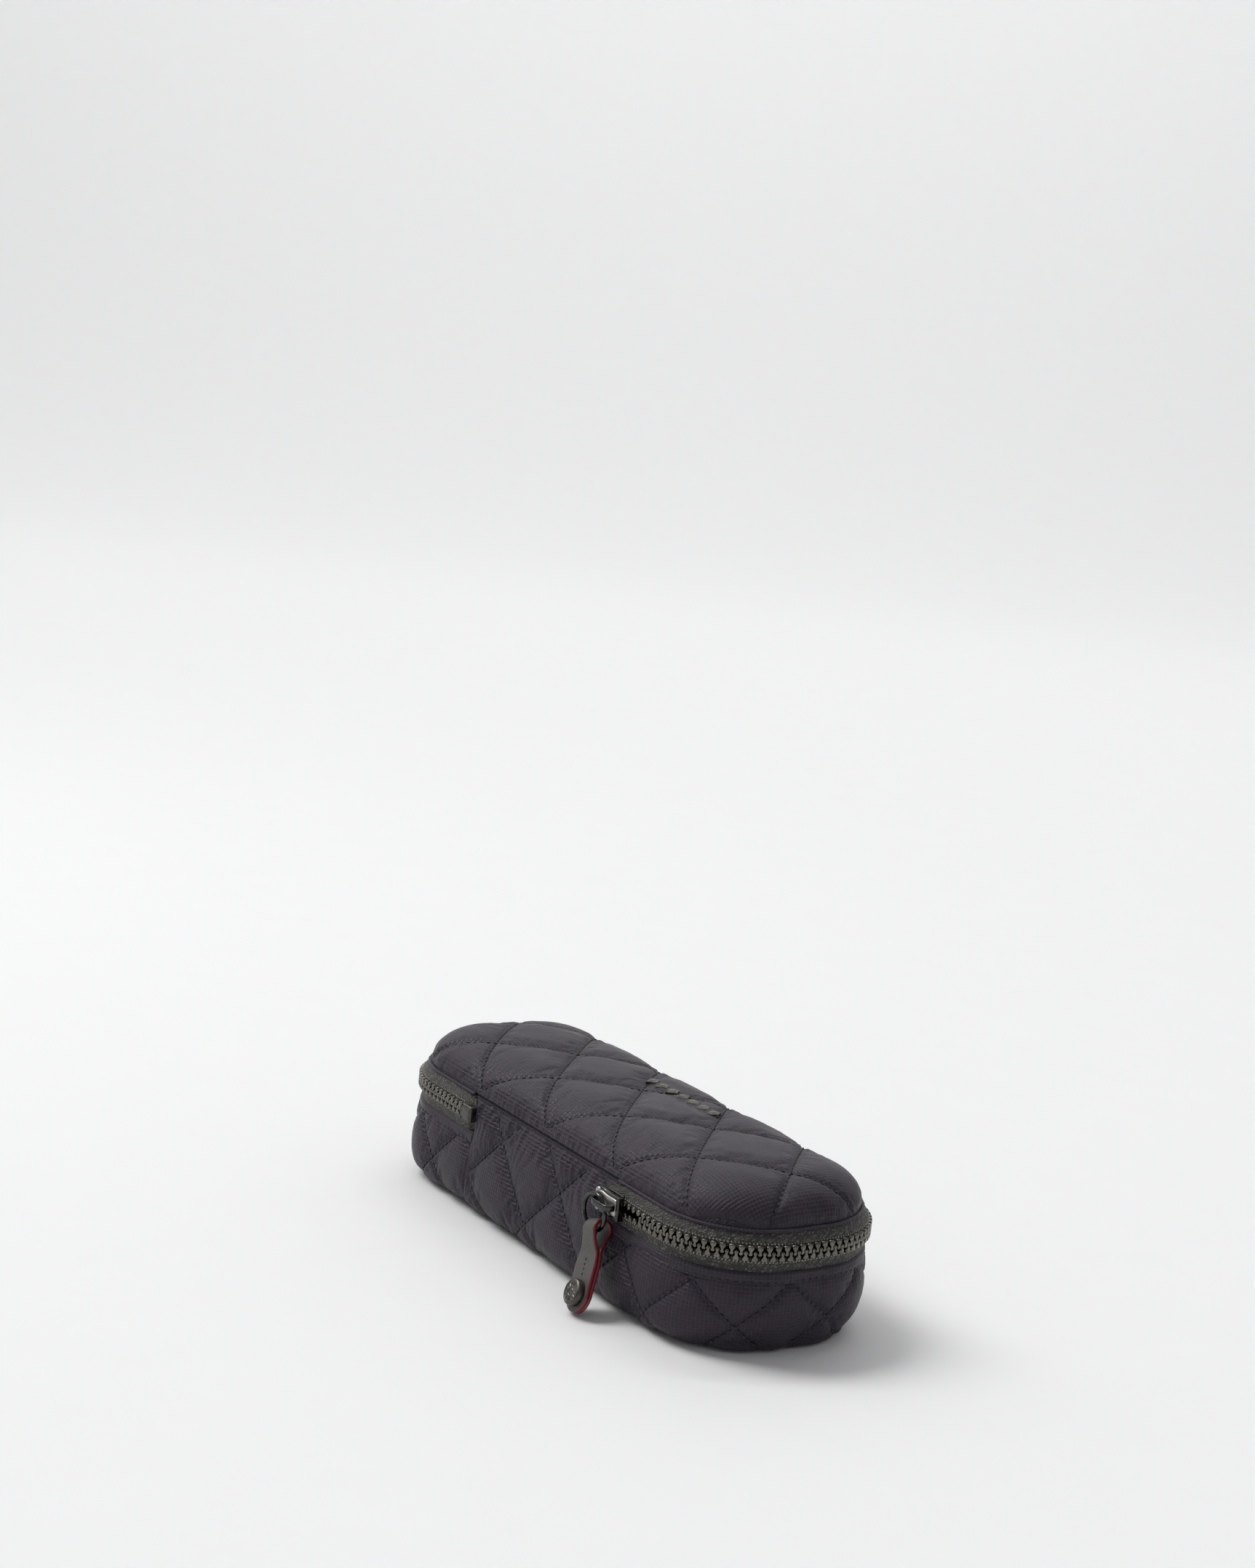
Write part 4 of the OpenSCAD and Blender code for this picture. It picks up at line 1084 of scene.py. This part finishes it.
sliderLooks = [blackMetal, sliderMetal, blackMetal, sliderMetal, blackMetal, sliderMetal, rivetMetal, rivetMetal, rivetMetal]
makePiece("sliderBody", [toSlider(part) for part in sliderParts()], sliderLooks, "slider", "slider")
flangeParts = [roundBoxPart([-5.95, 31.35, 0], [1.15, 2.3, 7.3], 0.42, 5)]
flangeParts.append(roundBoxPart([-5.2, 31.9, 0], [0.7, 0.9, 5.4], 0.3, 4))
# The bridge is a flattened half circle, from one end of the slider to the other
halfTurn = np.linspace(-1, 1, 41) * math.pi / 2
bridgeX = 4.35 * squareOff(np.sin(halfTurn), 0.55)
bridgeY = 31.9 + 3.15 * np.abs(np.cos(halfTurn)) ** 0.42


def barPart(path, width, thick, sides=16):
    # A rounded bar carried along a path in the plane of X and Y, its width along Z.
    path = np.asarray(path, float)
    ahead = np.gradient(path, axis=0)
    ahead /= np.linalg.norm(ahead, axis=1, keepdims=True)
    normal = np.stack([-ahead[:, 1], ahead[:, 0]], -1)
    a = np.arange(sides) * math.tau / sides
    across, out = squareOff(np.sin(a), 0.6) * width / 2, squareOff(np.cos(a), 0.6) * thick / 2
    ring = path[:, None] + normal[:, None] * out[None, :, None]
    side = np.broadcast_to(across[None, :, None], ring.shape[:2] + (1,))
    return gridPart(np.concatenate([ring, side], -1), wrapCols=True, cap=True, flip=True)


bridgePath = evenSteps(np.stack([bridgeX, bridgeY], -1), 60)[0]
bridge = barPart(bridgePath, 1.9, 1.05)
makePiece("sliderBridge", [toSlider(part) for part in [bridge] + flangeParts], blackMetal, "slider")

cadRing = dressNode("pull_ring", blackMetal)
cadRing.data.polygons.foreach_set("use_smooth", np.ones(len(cadRing.data.polygons), bool))

pullValues = dict(point=(-42.2232, 38.8, 22.5692), turn=18.0, reach=24.4, width=10.5, foldWidth=6.2, thick=1.15,
    leaf=-1.65, tunnel=(-0.5, 0.4, 2.2), foot=6.5, rivetZ=-18.85, clear=1.2, stitch=(1.45, 1.15, 0.17))


def pullFrame():
    # The pull leans out and is turned round the hole of the ring, as its CAD pieces are: its own -Z runs down the tab.
    lean = math.radians(pullValues["lean"])
    turn = math.radians(pullValues["turn"])
    turnX = np.array([[1, 0, 0], [0, math.cos(lean), -math.sin(lean)], [0, math.sin(lean), math.cos(lean)]])
    turnY = np.array([[math.cos(turn), 0, math.sin(turn)], [0, 1, 0], [-math.sin(turn), 0, math.cos(turn)]])
    return turnY @ turnX, np.array(pullValues["point"])


# It leans out by at least 8 degrees, and as far as its tip needs to stay clear of the floor
hanging = pullValues["reach"] * math.cos(math.radians(pullValues["turn"]))
leanCosine = min(math.cos(math.radians(8)), (pullValues["point"][2] - pullValues["clear"]) / hanging)
pullValues["lean"] = math.degrees(math.acos(leanCosine))
pullTurn, pullPoint = pullFrame()


def tabWidth(z):
    # Half the tab's width at a height: narrow at the fold, full from 9 mm down, and a half circle at the tip.
    full, fold = pullValues["width"] / 2, pullValues["foldWidth"] / 2
    tip = -pullValues["reach"] + full
    width = fold + (full - fold) * (1 - smooth(-10.0, -1.2, z))
    return np.where(z < tip, np.sqrt(np.maximum(full ** 2 - (tip - z) ** 2, 0.02)), width)


def leatherTab():
    # One strip of leather: up the back, round the ring's wire, and down the front. Its section is a rounded bar.
    thick, leaf, foot = pullValues["thick"], pullValues["leaf"], pullValues["foot"]
    midY, midZ, r = pullValues["tunnel"]
    r = r + thick / 2
    a = np.radians(np.linspace(205, -25, 40))
    tip = -pullValues["reach"] + 0.03
    back, front = leaf + thick / 2, leaf + 1.5 * thick
    zs = tip + pullValues["width"] / 2 * (1 - np.cos(np.linspace(0, math.pi / 2, 16)))
    backLine = [(back, z) for z in zs] + [(back, -13.0), (back, -9.0), (back, -foot)]
    frontLine = [(front, -foot), (front, -9.0), (front, -13.0)] + [(front, z) for z in zs[::-1]]
    line = np.array(backLine + list(np.stack([midY + r * np.cos(a), midZ + r * np.sin(a)], -1)) + frontLine)
    way = np.concatenate([[0], np.cumsum(np.hypot(*np.diff(line, axis=0).T))])
    at = np.concatenate([way[:16], np.linspace(way[15] + 0.3, way[-16] - 0.3, 150), way[-16:]])
    path = np.stack([np.interp(at, way, line[:, k]) for k in (0, 1)], -1)
    for _ in range(3):
        path[17:-17] = (path[16:-18] + 2 * path[17:-17] + path[18:-16]) / 4
    ahead = np.gradient(path, axis=0)
    ahead /= np.linalg.norm(ahead, axis=1, keepdims=True)
    normal = np.stack([-ahead[:, 1], ahead[:, 0]], -1)
    half = tabWidth(path[:, 1])
    atRing = np.abs(path[:, 1] - midZ) < 5
    half[atRing] = np.minimum(half[atRing], 3.6)
    edge = 0.42
    bend = np.linspace(-math.pi / 2, math.pi / 2, 13)
    flatParts = np.linspace(-1, 1, 9)[1:-1]
    acrossShare = np.concatenate([np.ones(13), flatParts[::-1], -np.ones(13), flatParts])
    acrossEdge = np.concatenate([np.cos(bend), 0 * flatParts, -np.cos(bend), 0 * flatParts])
    outEdge = np.concatenate([np.sin(bend), np.ones(7), -np.sin(bend), -np.ones(7)])
    x = acrossShare[None] * np.maximum(half - edge, 0.05)[:, None] + acrossEdge[None] * edge
    crown = 1 + 0.05 * (1 - np.abs(acrossShare)) * (np.abs(outEdge) > 0.99)
    out = outEdge[None] * crown[None] * thick / 2 * 0.985
    points = np.stack([x, path[:, :1] + normal[:, :1] * out, path[:, 1:] + normal[:, 1:] * out], -1)
    tags = np.broadcast_to((np.abs(acrossEdge) > 0.25).astype(float)[None], x.shape).ravel()
    return gridPart(points, wrapCols=True, cap=True, flip=False), tags


tabPart, tabTags = leatherTab()


def paintedPiece(name, part, tags, rides, stands):
    # Leather whose cut edges, where the tags are, and ends are painted red.
    piece = makePiece(name, part, taupeLeather, rides, stands)
    piece.data.materials.append(redEdge)
    painted = tags[part["faces"]].mean(1) > 0.6
    kinds = np.zeros(len(piece.data.polygons), np.int32)
    kinds[:len(painted)] = painted
    kinds[len(painted):] = 1
    piece.data.polygons.foreach_set("material_index", kinds)


paintedPiece("leatherPull", movePart(tabPart, pullTurn, pullPoint), tabTags, "pull", "pull_leather")


def pullThreads():
    z = np.linspace(-7.4, -14.4, 40)
    parts = []
    front, back = pullValues["leaf"] + 2 * pullValues["thick"] + 0.03, pullValues["leaf"] - 0.03
    for y, out in ((front, 1.0), (back, -1.0)):
        line = np.stack([0 * z, y + 0 * z, z], -1)
        parts.append(stitchesAlong(line, np.tile([0, out, 0], (len(z), 1)), *pullValues["stitch"]))
    return [movePart(p, pullTurn, pullPoint) for p in parts]


makePiece("pullThread", pullThreads(), darkThread, "pull", "pull_stitching")


def rivetRelief(r, a):
    # A plain pattern struck into the cap: a ring round the middle, and short rays between it and the rim.
    rays = np.abs(np.cos(a * 6)) ** 6
    struck = 0.22 * rays * smooth(1.45, 1.75, r) * (1 - smooth(2.7, 3.0, r))
    return -struck - 0.20 * smooth(0.75, 0.95, r) * (1 - smooth(1.2, 1.4, r))


rivetProfile = [(0.02, 0.05)] + [(r, 0.0) for r in np.linspace(3.2, 3.85, 3)]
rivetProfile += [(3.98, 0.15), (4.02, 0.8), (4.02, 1.5), (3.92, 1.9), (3.7, 2.15), (3.45, 2.28), (3.3, 2.30), (3.2, 2.22), (3.05, 2.14)]
rivetProfile += [(r, 2.16 + 0.10 * (1 - (r / 3) ** 2)) for r in np.linspace(2.95, 0.03, 26)]
onFace = (np.arange(len(rivetProfile)) > 11)[:, None]
capPart = lathePart(rivetProfile, 144, lambda r, a: rivetRelief(r, a) * onFace)
shankPart = lathePart([(1.15, -2.25), (1.15, 0.1)], 24)
rivetAt = np.array([0, pullValues["leaf"] + 2 * pullValues["thick"], pullValues["rivetZ"]])
rivetParts = [movePart(movePart(part, ontoFront, rivetAt), pullTurn, pullPoint) for part in (capPart, shankPart)]
makePiece("rivetCap", rivetParts, rivetMetal, "pull", "rivet_cap")
dressNode("rivet_back", rivetMetal)

print("emblem and inside pieces")
emblemValues = dict(count=7, pitch=5.6, middle=(-10.0, -11.0), wide=2.05, long=2.8, base=48.35)


def lozengePart():
    # A lozenge stud: an upright foot, then four facets that rise to a small flat top.
    a = np.arange(4) * math.pi / 2
    outline = np.stack([emblemValues["wide"] * np.cos(a), emblemValues["long"] * np.sin(a)], -1)
    layers = [(-0.5, 1.0), (0.72, 1.0), (0.90, 0.94), (1.36, 0.42), (1.42, 0.30)]
    points = np.stack([np.concatenate([outline * s, np.full((4, 1), z)], -1) for z, s in layers])
    return gridPart(points, wrapCols=True, cap=True, flip=True)


def emblemRow(values=emblemValues):
    # Studs in a row on a thin bar, with flat facets.
    middleX, middleY = values["middle"]
    studs = np.full((values["count"], 3), values["base"])
    studs[:, 0] = middleX + (np.arange(values["count"]) - (values["count"] - 1) / 2) * values["pitch"]
    studs[:, 1] = middleY
    axes = [np.tile(row, (values["count"], 1)) for row in np.eye(3)]
    bar = roundBoxPart([middleX, middleY, values["base"]], [38.2, 1.5, 0.75], 0.2, 4)
    emblem = makePiece("emblemStuds", [repeatPart(lozengePart(), studs, *axes), bar], toothMetal, "lid", "emblem_studs")
    emblem.data.polygons.foreach_set("use_smooth", np.zeros(len(emblem.data.polygons), bool))


emblemRow()


def boxOf(node):
    low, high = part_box(node)
    return np.array(low) / mm, np.array(high) / mm


def padPiece(name, node, look, thin, puff=0.5, shrink=0.35):
    # A padded partition: a rounded block whose two broad faces swell a little between stitched edges.
    low, high = boxOf(node)
    middle = (low + high) / 2
    size = (high - low) - 2 * np.array([shrink if k == thin else 0.12 for k in range(3)])
    long = 1 - thin
    a = np.linspace(0, 1, int(size[long] / 0.8))[:, None]
    half = size[thin] / 2
    t = np.linspace(0, math.tau, 72, endpoint=False)
    across, height = half * squareOff(np.cos(t), 0.32), size[2] / 2 * squareOff(np.sin(t), 0.16)
    endFade = np.sqrt(np.clip(1 - np.abs(2 * a - 1) ** 24, 0.02, 1))
    upright = np.clip(1 - (height / size[2] * 2) ** 2, 0, 1) ** 0.5
    swell = 1 + puff / half * np.sin(math.pi * a) ** 0.3 * upright * 0.5
    ripple = 0.05 * softNoise(a * size[long], height[None], 7, 131)
    x = across[None] * endFade * swell + ripple * np.sign(across)[None]
    points = np.zeros((len(a), len(t), 3))
    points[..., long] = middle[long] + (a - 0.5) * size[long]
    points[..., thin] = middle[thin] + x
    points[..., 2] = middle[2] + height[None] * (0.985 + 0.015 * endFade)
    block = gridPart(points, wrapCols=True, cap=True, flip=long == 0)
    piece = makePiece(name, block, look, "base", node)
    top = np.zeros((int(size[long] / 0.4), 3))
    top[:, long] = np.linspace(low[long] + 1.5, high[long] - 1.5, len(top))
    for side in (-1, 1):
        line = top.copy()
        line[:, thin] = middle[thin] + side * half
        line[:, 2] = high[2] - 2.2
        out = np.zeros(3)
        out[thin] = side
        thread = stitchesAlong(line, np.tile(out, (len(line), 1)), 2.2, 1.6, 0.14)
        makePiece(name + ("Left" if side < 0 else "Right") + "Thread", thread, wineThread, "base")


padPiece("crossDividerSliderSide", "cross_divider_left", wineLining, 0)
padPiece("crossDividerRollSide", "cross_divider_right", wineLining, 0)
padPiece("longDivider", "long_divider", wineLining, 1)


def ringRoll(name, node, seed):
    # A foam roll under velvet: a round bar, flat where it rests, drawn in at its ends by the gathered cloth.
    low, high = boxOf(node)
    radius = (high[1] - low[1]) / 2 - 0.15
    midY, midZ = (low[1] + high[1]) / 2, high[2] - radius - 0.15
    quarter = np.linspace(0, math.pi / 2, 10)
    x = np.concatenate([low[0] + 0.15 + 2.2 * (1 - np.cos(quarter)), np.linspace(low[0] + 2.9, high[0] - 2.9, 74),
        high[0] - 0.15 - 2.2 * (1 - np.sin(quarter))])
    fromEnd = np.minimum(x - low[0] - 0.15, high[0] - 0.15 - x)
    r = radius - 2.0 * (1 - np.sqrt(np.clip(1 - (1 - np.clip(fromEnd / 2.2, 0, 1)) ** 2, 0, 1)))
    a = np.arange(96) * math.tau / 96
    gathered = np.sin(a[None] * 30) * np.exp(-fromEnd[:, None] / 2.2)
    rumple = 0.10 * softNoise(x[:, None], a[None] * radius, 9, seed) + 0.10 * gathered
    full = r[:, None] - 0.1 + rumple
    y, z = midY + full * np.cos(a)[None], np.maximum(midZ + full * np.sin(a)[None], low[2] + 0.03)
    points = np.stack([np.broadcast_to(x[:, None], y.shape), y, z], -1)
    piece = makePiece(name, gridPart(points, wrapCols=True, cap=True), ringVelvet, "base", node)


ringRoll("ringRollFront", "ring_roll_front", 141)
ringRoll("ringRollRear", "ring_roll_rear", 142)


def sidePocket():
    # A flat pocket: a sheet sewn to the wall lining at its foot and two ends, slack at its mouth, with a row of
    # stitches under the mouth.
    low, high = boxOf("side_pocket")
    s, t = np.linspace(0, 1, 90)[:, None], np.linspace(0, 1, 44)[None]
    ends = smooth(0, 0.09, s) * smooth(0, 0.09, 1 - s) * smooth(0, 0.14, t + 0.02)
    depth = (high[1] - low[1] - 0.1) * ends - 0.12 * np.abs(softNoise(s * 40, t * 17, 9, 151)) * ends
    depth = np.maximum(depth, 0.35)
    x, z = low[0] + (high[0] - low[0]) * s + 0 * t, low[2] + 0.1 + (high[2] - low[2] - 0.15) * t + 0 * s
    face = np.stack([x, low[1] + depth, z], -1)[::-1]
    back = np.stack([x, low[1] + np.maximum(depth - 0.6, 0.05), z], -1)[::-1]
    cloth = shellPart(face, back, uv=np.stack([x, z], -1)[::-1])
    piece = makePiece("sidePocket", cloth, wineLining, "base", "side_pocket")
    line = face[:, -4][::-1]
    thread = stitchesAlong(line, np.tile([0, 1.0, 0], (len(line), 1)), 2.2, 1.6, 0.14)
    makePiece("sidePocketThread", thread, wineThread, "base")


sidePocket()
flapLow, flapHigh = boxOf("pocket_flap")
capLow, capHigh = boxOf("pocket_snap_cap")


def pocketFlap():
    # A leather flap: from the wall it runs forward, bends, and hangs over the pocket's mouth, with rounded lower corners.
    thick = 0.9
    x0, x1 = flapLow[0] + 0.1, flapHigh[0] - 0.1
    top, front, drop = flapHigh[2] - thick / 2 - 0.02, flapHigh[1] - thick / 2 - 0.03, flapLow[2] + 0.1
    bent = [(flapLow[1] + 0.05, top), (front - 1.0, top), (front, top - 0.2), (front, top - 2.0), (front, drop)]
    line = evenSteps(bent, 50)[0]
    ahead = np.gradient(line, axis=0)
    ahead /= np.linalg.norm(ahead, axis=1, keepdims=True)
    normal = np.stack([-ahead[:, 1], ahead[:, 0]], -1)
    rise = np.clip(line[:, 1] - drop, 0, 4.0)
    drawn = 4.0 - np.sqrt(np.maximum(16 - (4 - rise) ** 2, 0))
    half = (x1 - x0) / 2 - np.where(line[:, 1] < drop + 4, drawn, 0)
    a = np.arange(40) * math.tau / 40
    across, out = squareOff(np.cos(a), 0.10), squareOff(np.sin(a), 0.5) * thick / 2
    side = (x0 + x1) / 2 + across[None] * half[:, None]
    points = np.stack([side, line[:, :1] + normal[:, :1] * out, line[:, 1:] + normal[:, 1:] * out], -1)
    makePiece("pocketFlap", gridPart(points, wrapCols=True, cap=True), flapLeather, "pocket_flap", "pocket_flap")
    # Its thread runs 1.2 mm inside the edge: down, round a corner, along the foot, round the other and up
    quarter = np.linspace(0, math.pi / 2, 10)
    corner = np.stack([2.8 * (1 - np.cos(quarter)), -2.8 * np.sin(quarter)], -1)
    left = [(x0 + 1.2, z) for z in np.linspace(top - 2, drop + 4, 12)]
    foot = [(x, drop + 1.2) for x in np.linspace(x0 + 4.2, x1 - 4.2, 50)]
    right = [(x1 - 1.2, z) for z in np.linspace(drop + 4, top - 2, 12)]
    edge = np.concatenate([left, corner + [x0 + 1.2, drop + 4], foot, corner[::-1] * [-1, 1] + [x1 - 1.2, drop + 4], right])
    points = np.stack([edge[:, 0], np.full(len(edge), front + thick / 2 + 0.02), edge[:, 1]], -1)
    thread = stitchesAlong(points, np.tile([0, 1.0, 0], (len(points), 1)), 1.7, 1.25, 0.13)
    makePiece("pocketFlapThread", thread, darkThread, "pocket_flap")


pocketFlap()
capMiddle = (capLow + capHigh) / 2
snap = lathePart([(0.02, 0.02), (3.3, 0.0), (3.52, 0.2), (3.45, 0.5), (2.9, 0.8),
    (2.55, 0.92), (2.3, 0.84), (2.0, 0.95), (1.0, 1.22), (0.02, 1.27)], 64)
snap = movePart(snap, ontoFront, [capMiddle[0], capLow[1] + 0.02, capMiddle[2]])
makePiece("pocketSnapCap", snap, brightMetal, "pocket_flap", "pocket_snap_cap")
dressNode("pocket_stud", brightMetal)
dressNode("bottom_board", greyBoard)


def lidPocket():
    # A gathered slip pocket under the lid: cloth from the elastic mouth to the hinge side, and a ruched elastic hem.
    low, high = boxOf("lid_pocket")
    table = archTable(21.1, 6.0)
    s, t = np.linspace(0, 1, 300)[:, None], np.linspace(0, 1, 50)[None]
    x = low[0] + 0.2 + (high[0] - low[0] - 0.4) * s + 0 * t
    y = low[1] + 0.15 + (high[1] - low[1] - 0.3) * t + 0 * s
    out = np.maximum(np.abs(y) - cornerY, 0)
    z = insideSeamZ + np.interp(out, table[1], table[2])
    fullness = 1 - smooth(0.0, 1.0, t)
    ruche = 0.28 * np.sin(x * math.tau / 3.3 + 1.2 * softNoise(x, y, 20, 161)) * (0.25 + 0.75 * fullness)
    dip = 0.55 + ruche + 0.6 * np.sin(math.pi * s) ** 0.5 * fullness
    face, back = np.stack([x, y, z - dip - 0.55], -1), np.stack([x, y, z - dip], -1)
    piece = makePiece("lidPocket", shellPart(back, face, uv=np.stack([x, y], -1)), wineLining, "lid", "lid_pocket")
    low, high = boxOf("lid_pocket_elastic")
    x = np.linspace(low[0] + 0.2, high[0] - 0.2, 330)[:, None]
    a = np.arange(20) * math.tau / 20
    ripple = np.sin(x * math.tau / 3.3)
    y = (low[1] + high[1]) / 2 + (1.38 + 0.10 * ripple) * squareOff(np.cos(a), 0.6)[None]
    z = (low[2] + high[2]) / 2 - 0.1 + 0.62 * squareOff(np.sin(a), 0.6)[None] + 0.12 * ripple
    band = gridPart(np.stack([x + 0 * y, y, z], -1), wrapCols=True, cap=True)
    makePiece("lidPocketElastic", band, ringVelvet, "lid", "lid_pocket_elastic")


lidPocket()

print("stage, light and camera")
stageValues = dict(azimuth=235.80, elevation=9.64, roll=5.90, far=0.777, slideX=-0.01253, slideZ=0.14356, lens=56.33, world=0.33, sun=3.35)
floorLook, floorShader = startLook("paleFloor", (0.93, 0.93, 0.93), 0.8)
speck = noiseOf(floorLook, objectPlace(floorLook), 40.0, 2.0)
floorLook.node_tree.links.new(mixed(floorLook, speck, (0.925, 0.925, 0.925), (0.94, 0.94, 0.94)), floorShader.inputs["Base Color"])
azimuth, elevation, roll = (math.radians(stageValues[key]) for key in ("azimuth", "elevation", "roll"))
level = np.array([math.sin(azimuth), -math.cos(azimuth), 0])
right = np.array([math.cos(azimuth), math.sin(azimuth), 0])
back = level * math.cos(elevation) + np.array([0, 0, math.sin(elevation)])
up = np.cross(back, right)
# A sweep: floor under the object that curves up into a wall far behind it
bend = np.linspace(0, math.pi / 2, 24)
bend = np.stack([2.2 + 1.6 * np.sin(bend), 1.6 - 1.6 * np.cos(bend)], -1)
sweepWay = np.concatenate([[[-40.0, 0.0]], bend, [[3.8, 9.0]]])
sweep = np.linspace(-40, 40, 3)[:, None, None] * right - sweepWay[None, :, :1] * level
sweep = sweep + sweepWay[None, :, 1:] * np.array([0, 0, 1.0])
floor = makePiece("studioFloor", gridPart(sweep / mm, flip=False), floorLook)


def areaLight(name, place, aim, size, power, colour=(1, 1, 1)):
    lamp = bpy.data.lights.new(name, "AREA")
    lamp.shape, lamp.size, lamp.size_y, lamp.energy, lamp.color = "RECTANGLE", size[0], size[1], power, colour
    made = bpy.data.objects.new(name, lamp)
    bpy.context.scene.collection.objects.link(made)
    toward = np.array(aim, float) - np.array(place, float)
    made.location = place
    made.rotation_euler = Vector(toward).to_track_quat("-Z", "Y").to_euler()
    return made


def seen(x, y, z):
    # A place given as right of the camera's view, away from the camera and up, in metres.
    return tuple(x * right - y * level + np.array([0, 0, z]))


def sunLight(name, place, strength, spread):
    # A wide, even light from the direction of the given place.
    lamp = bpy.data.lights.new(name, "SUN")
    lamp.energy, lamp.angle = strength, math.radians(spread)
    made = bpy.data.objects.new(name, lamp)
    bpy.context.scene.collection.objects.link(made)
    made.rotation_euler = Vector([-value for value in place]).to_track_quat("-Z", "Y").to_euler()


sunLight("keyLight", seen(-0.9, 0.55, 1.15), stageValues["sun"], 38)
areaLight("stripLight", seen(-0.7, 0.35, 0.75), (0, 0, 0.03), (0.25, 0.8), 1.2)
areaLight("backdropLight", seen(0, 1.6, 3.4), seen(0, 3.8, 1.2), (4.0, 0.6), 62)
world = bpy.data.worlds.new("studio")
bpy.context.scene.world = world
world.use_nodes = True
world.node_tree.nodes["Background"].inputs[0].default_value = (0.92, 0.93, 0.95, 1)
world.node_tree.nodes["Background"].inputs[1].default_value = stageValues["world"]

lens = bpy.data.cameras.new("camera")
lens.lens, lens.sensor_width, lens.clip_start, lens.clip_end = stageValues["lens"], 36.0, 0.05, 60.0
camera = bpy.data.objects.new("camera", lens)
bpy.context.scene.collection.objects.link(camera)
rolledRight = right * math.cos(roll) + up * math.sin(roll)
rolledUp = up * math.cos(roll) - right * math.sin(roll)
turned = Matrix([list(row) for row in np.stack([rolledRight, rolledUp, back], -1)]).to_4x4()
turned.translation = (back * stageValues["far"] + right * stageValues["slideX"] + up * stageValues["slideZ"]).tolist()
camera.matrix_world = turned
bpy.context.scene.camera = camera

bpy.context.scene.view_settings.view_transform = "Standard"
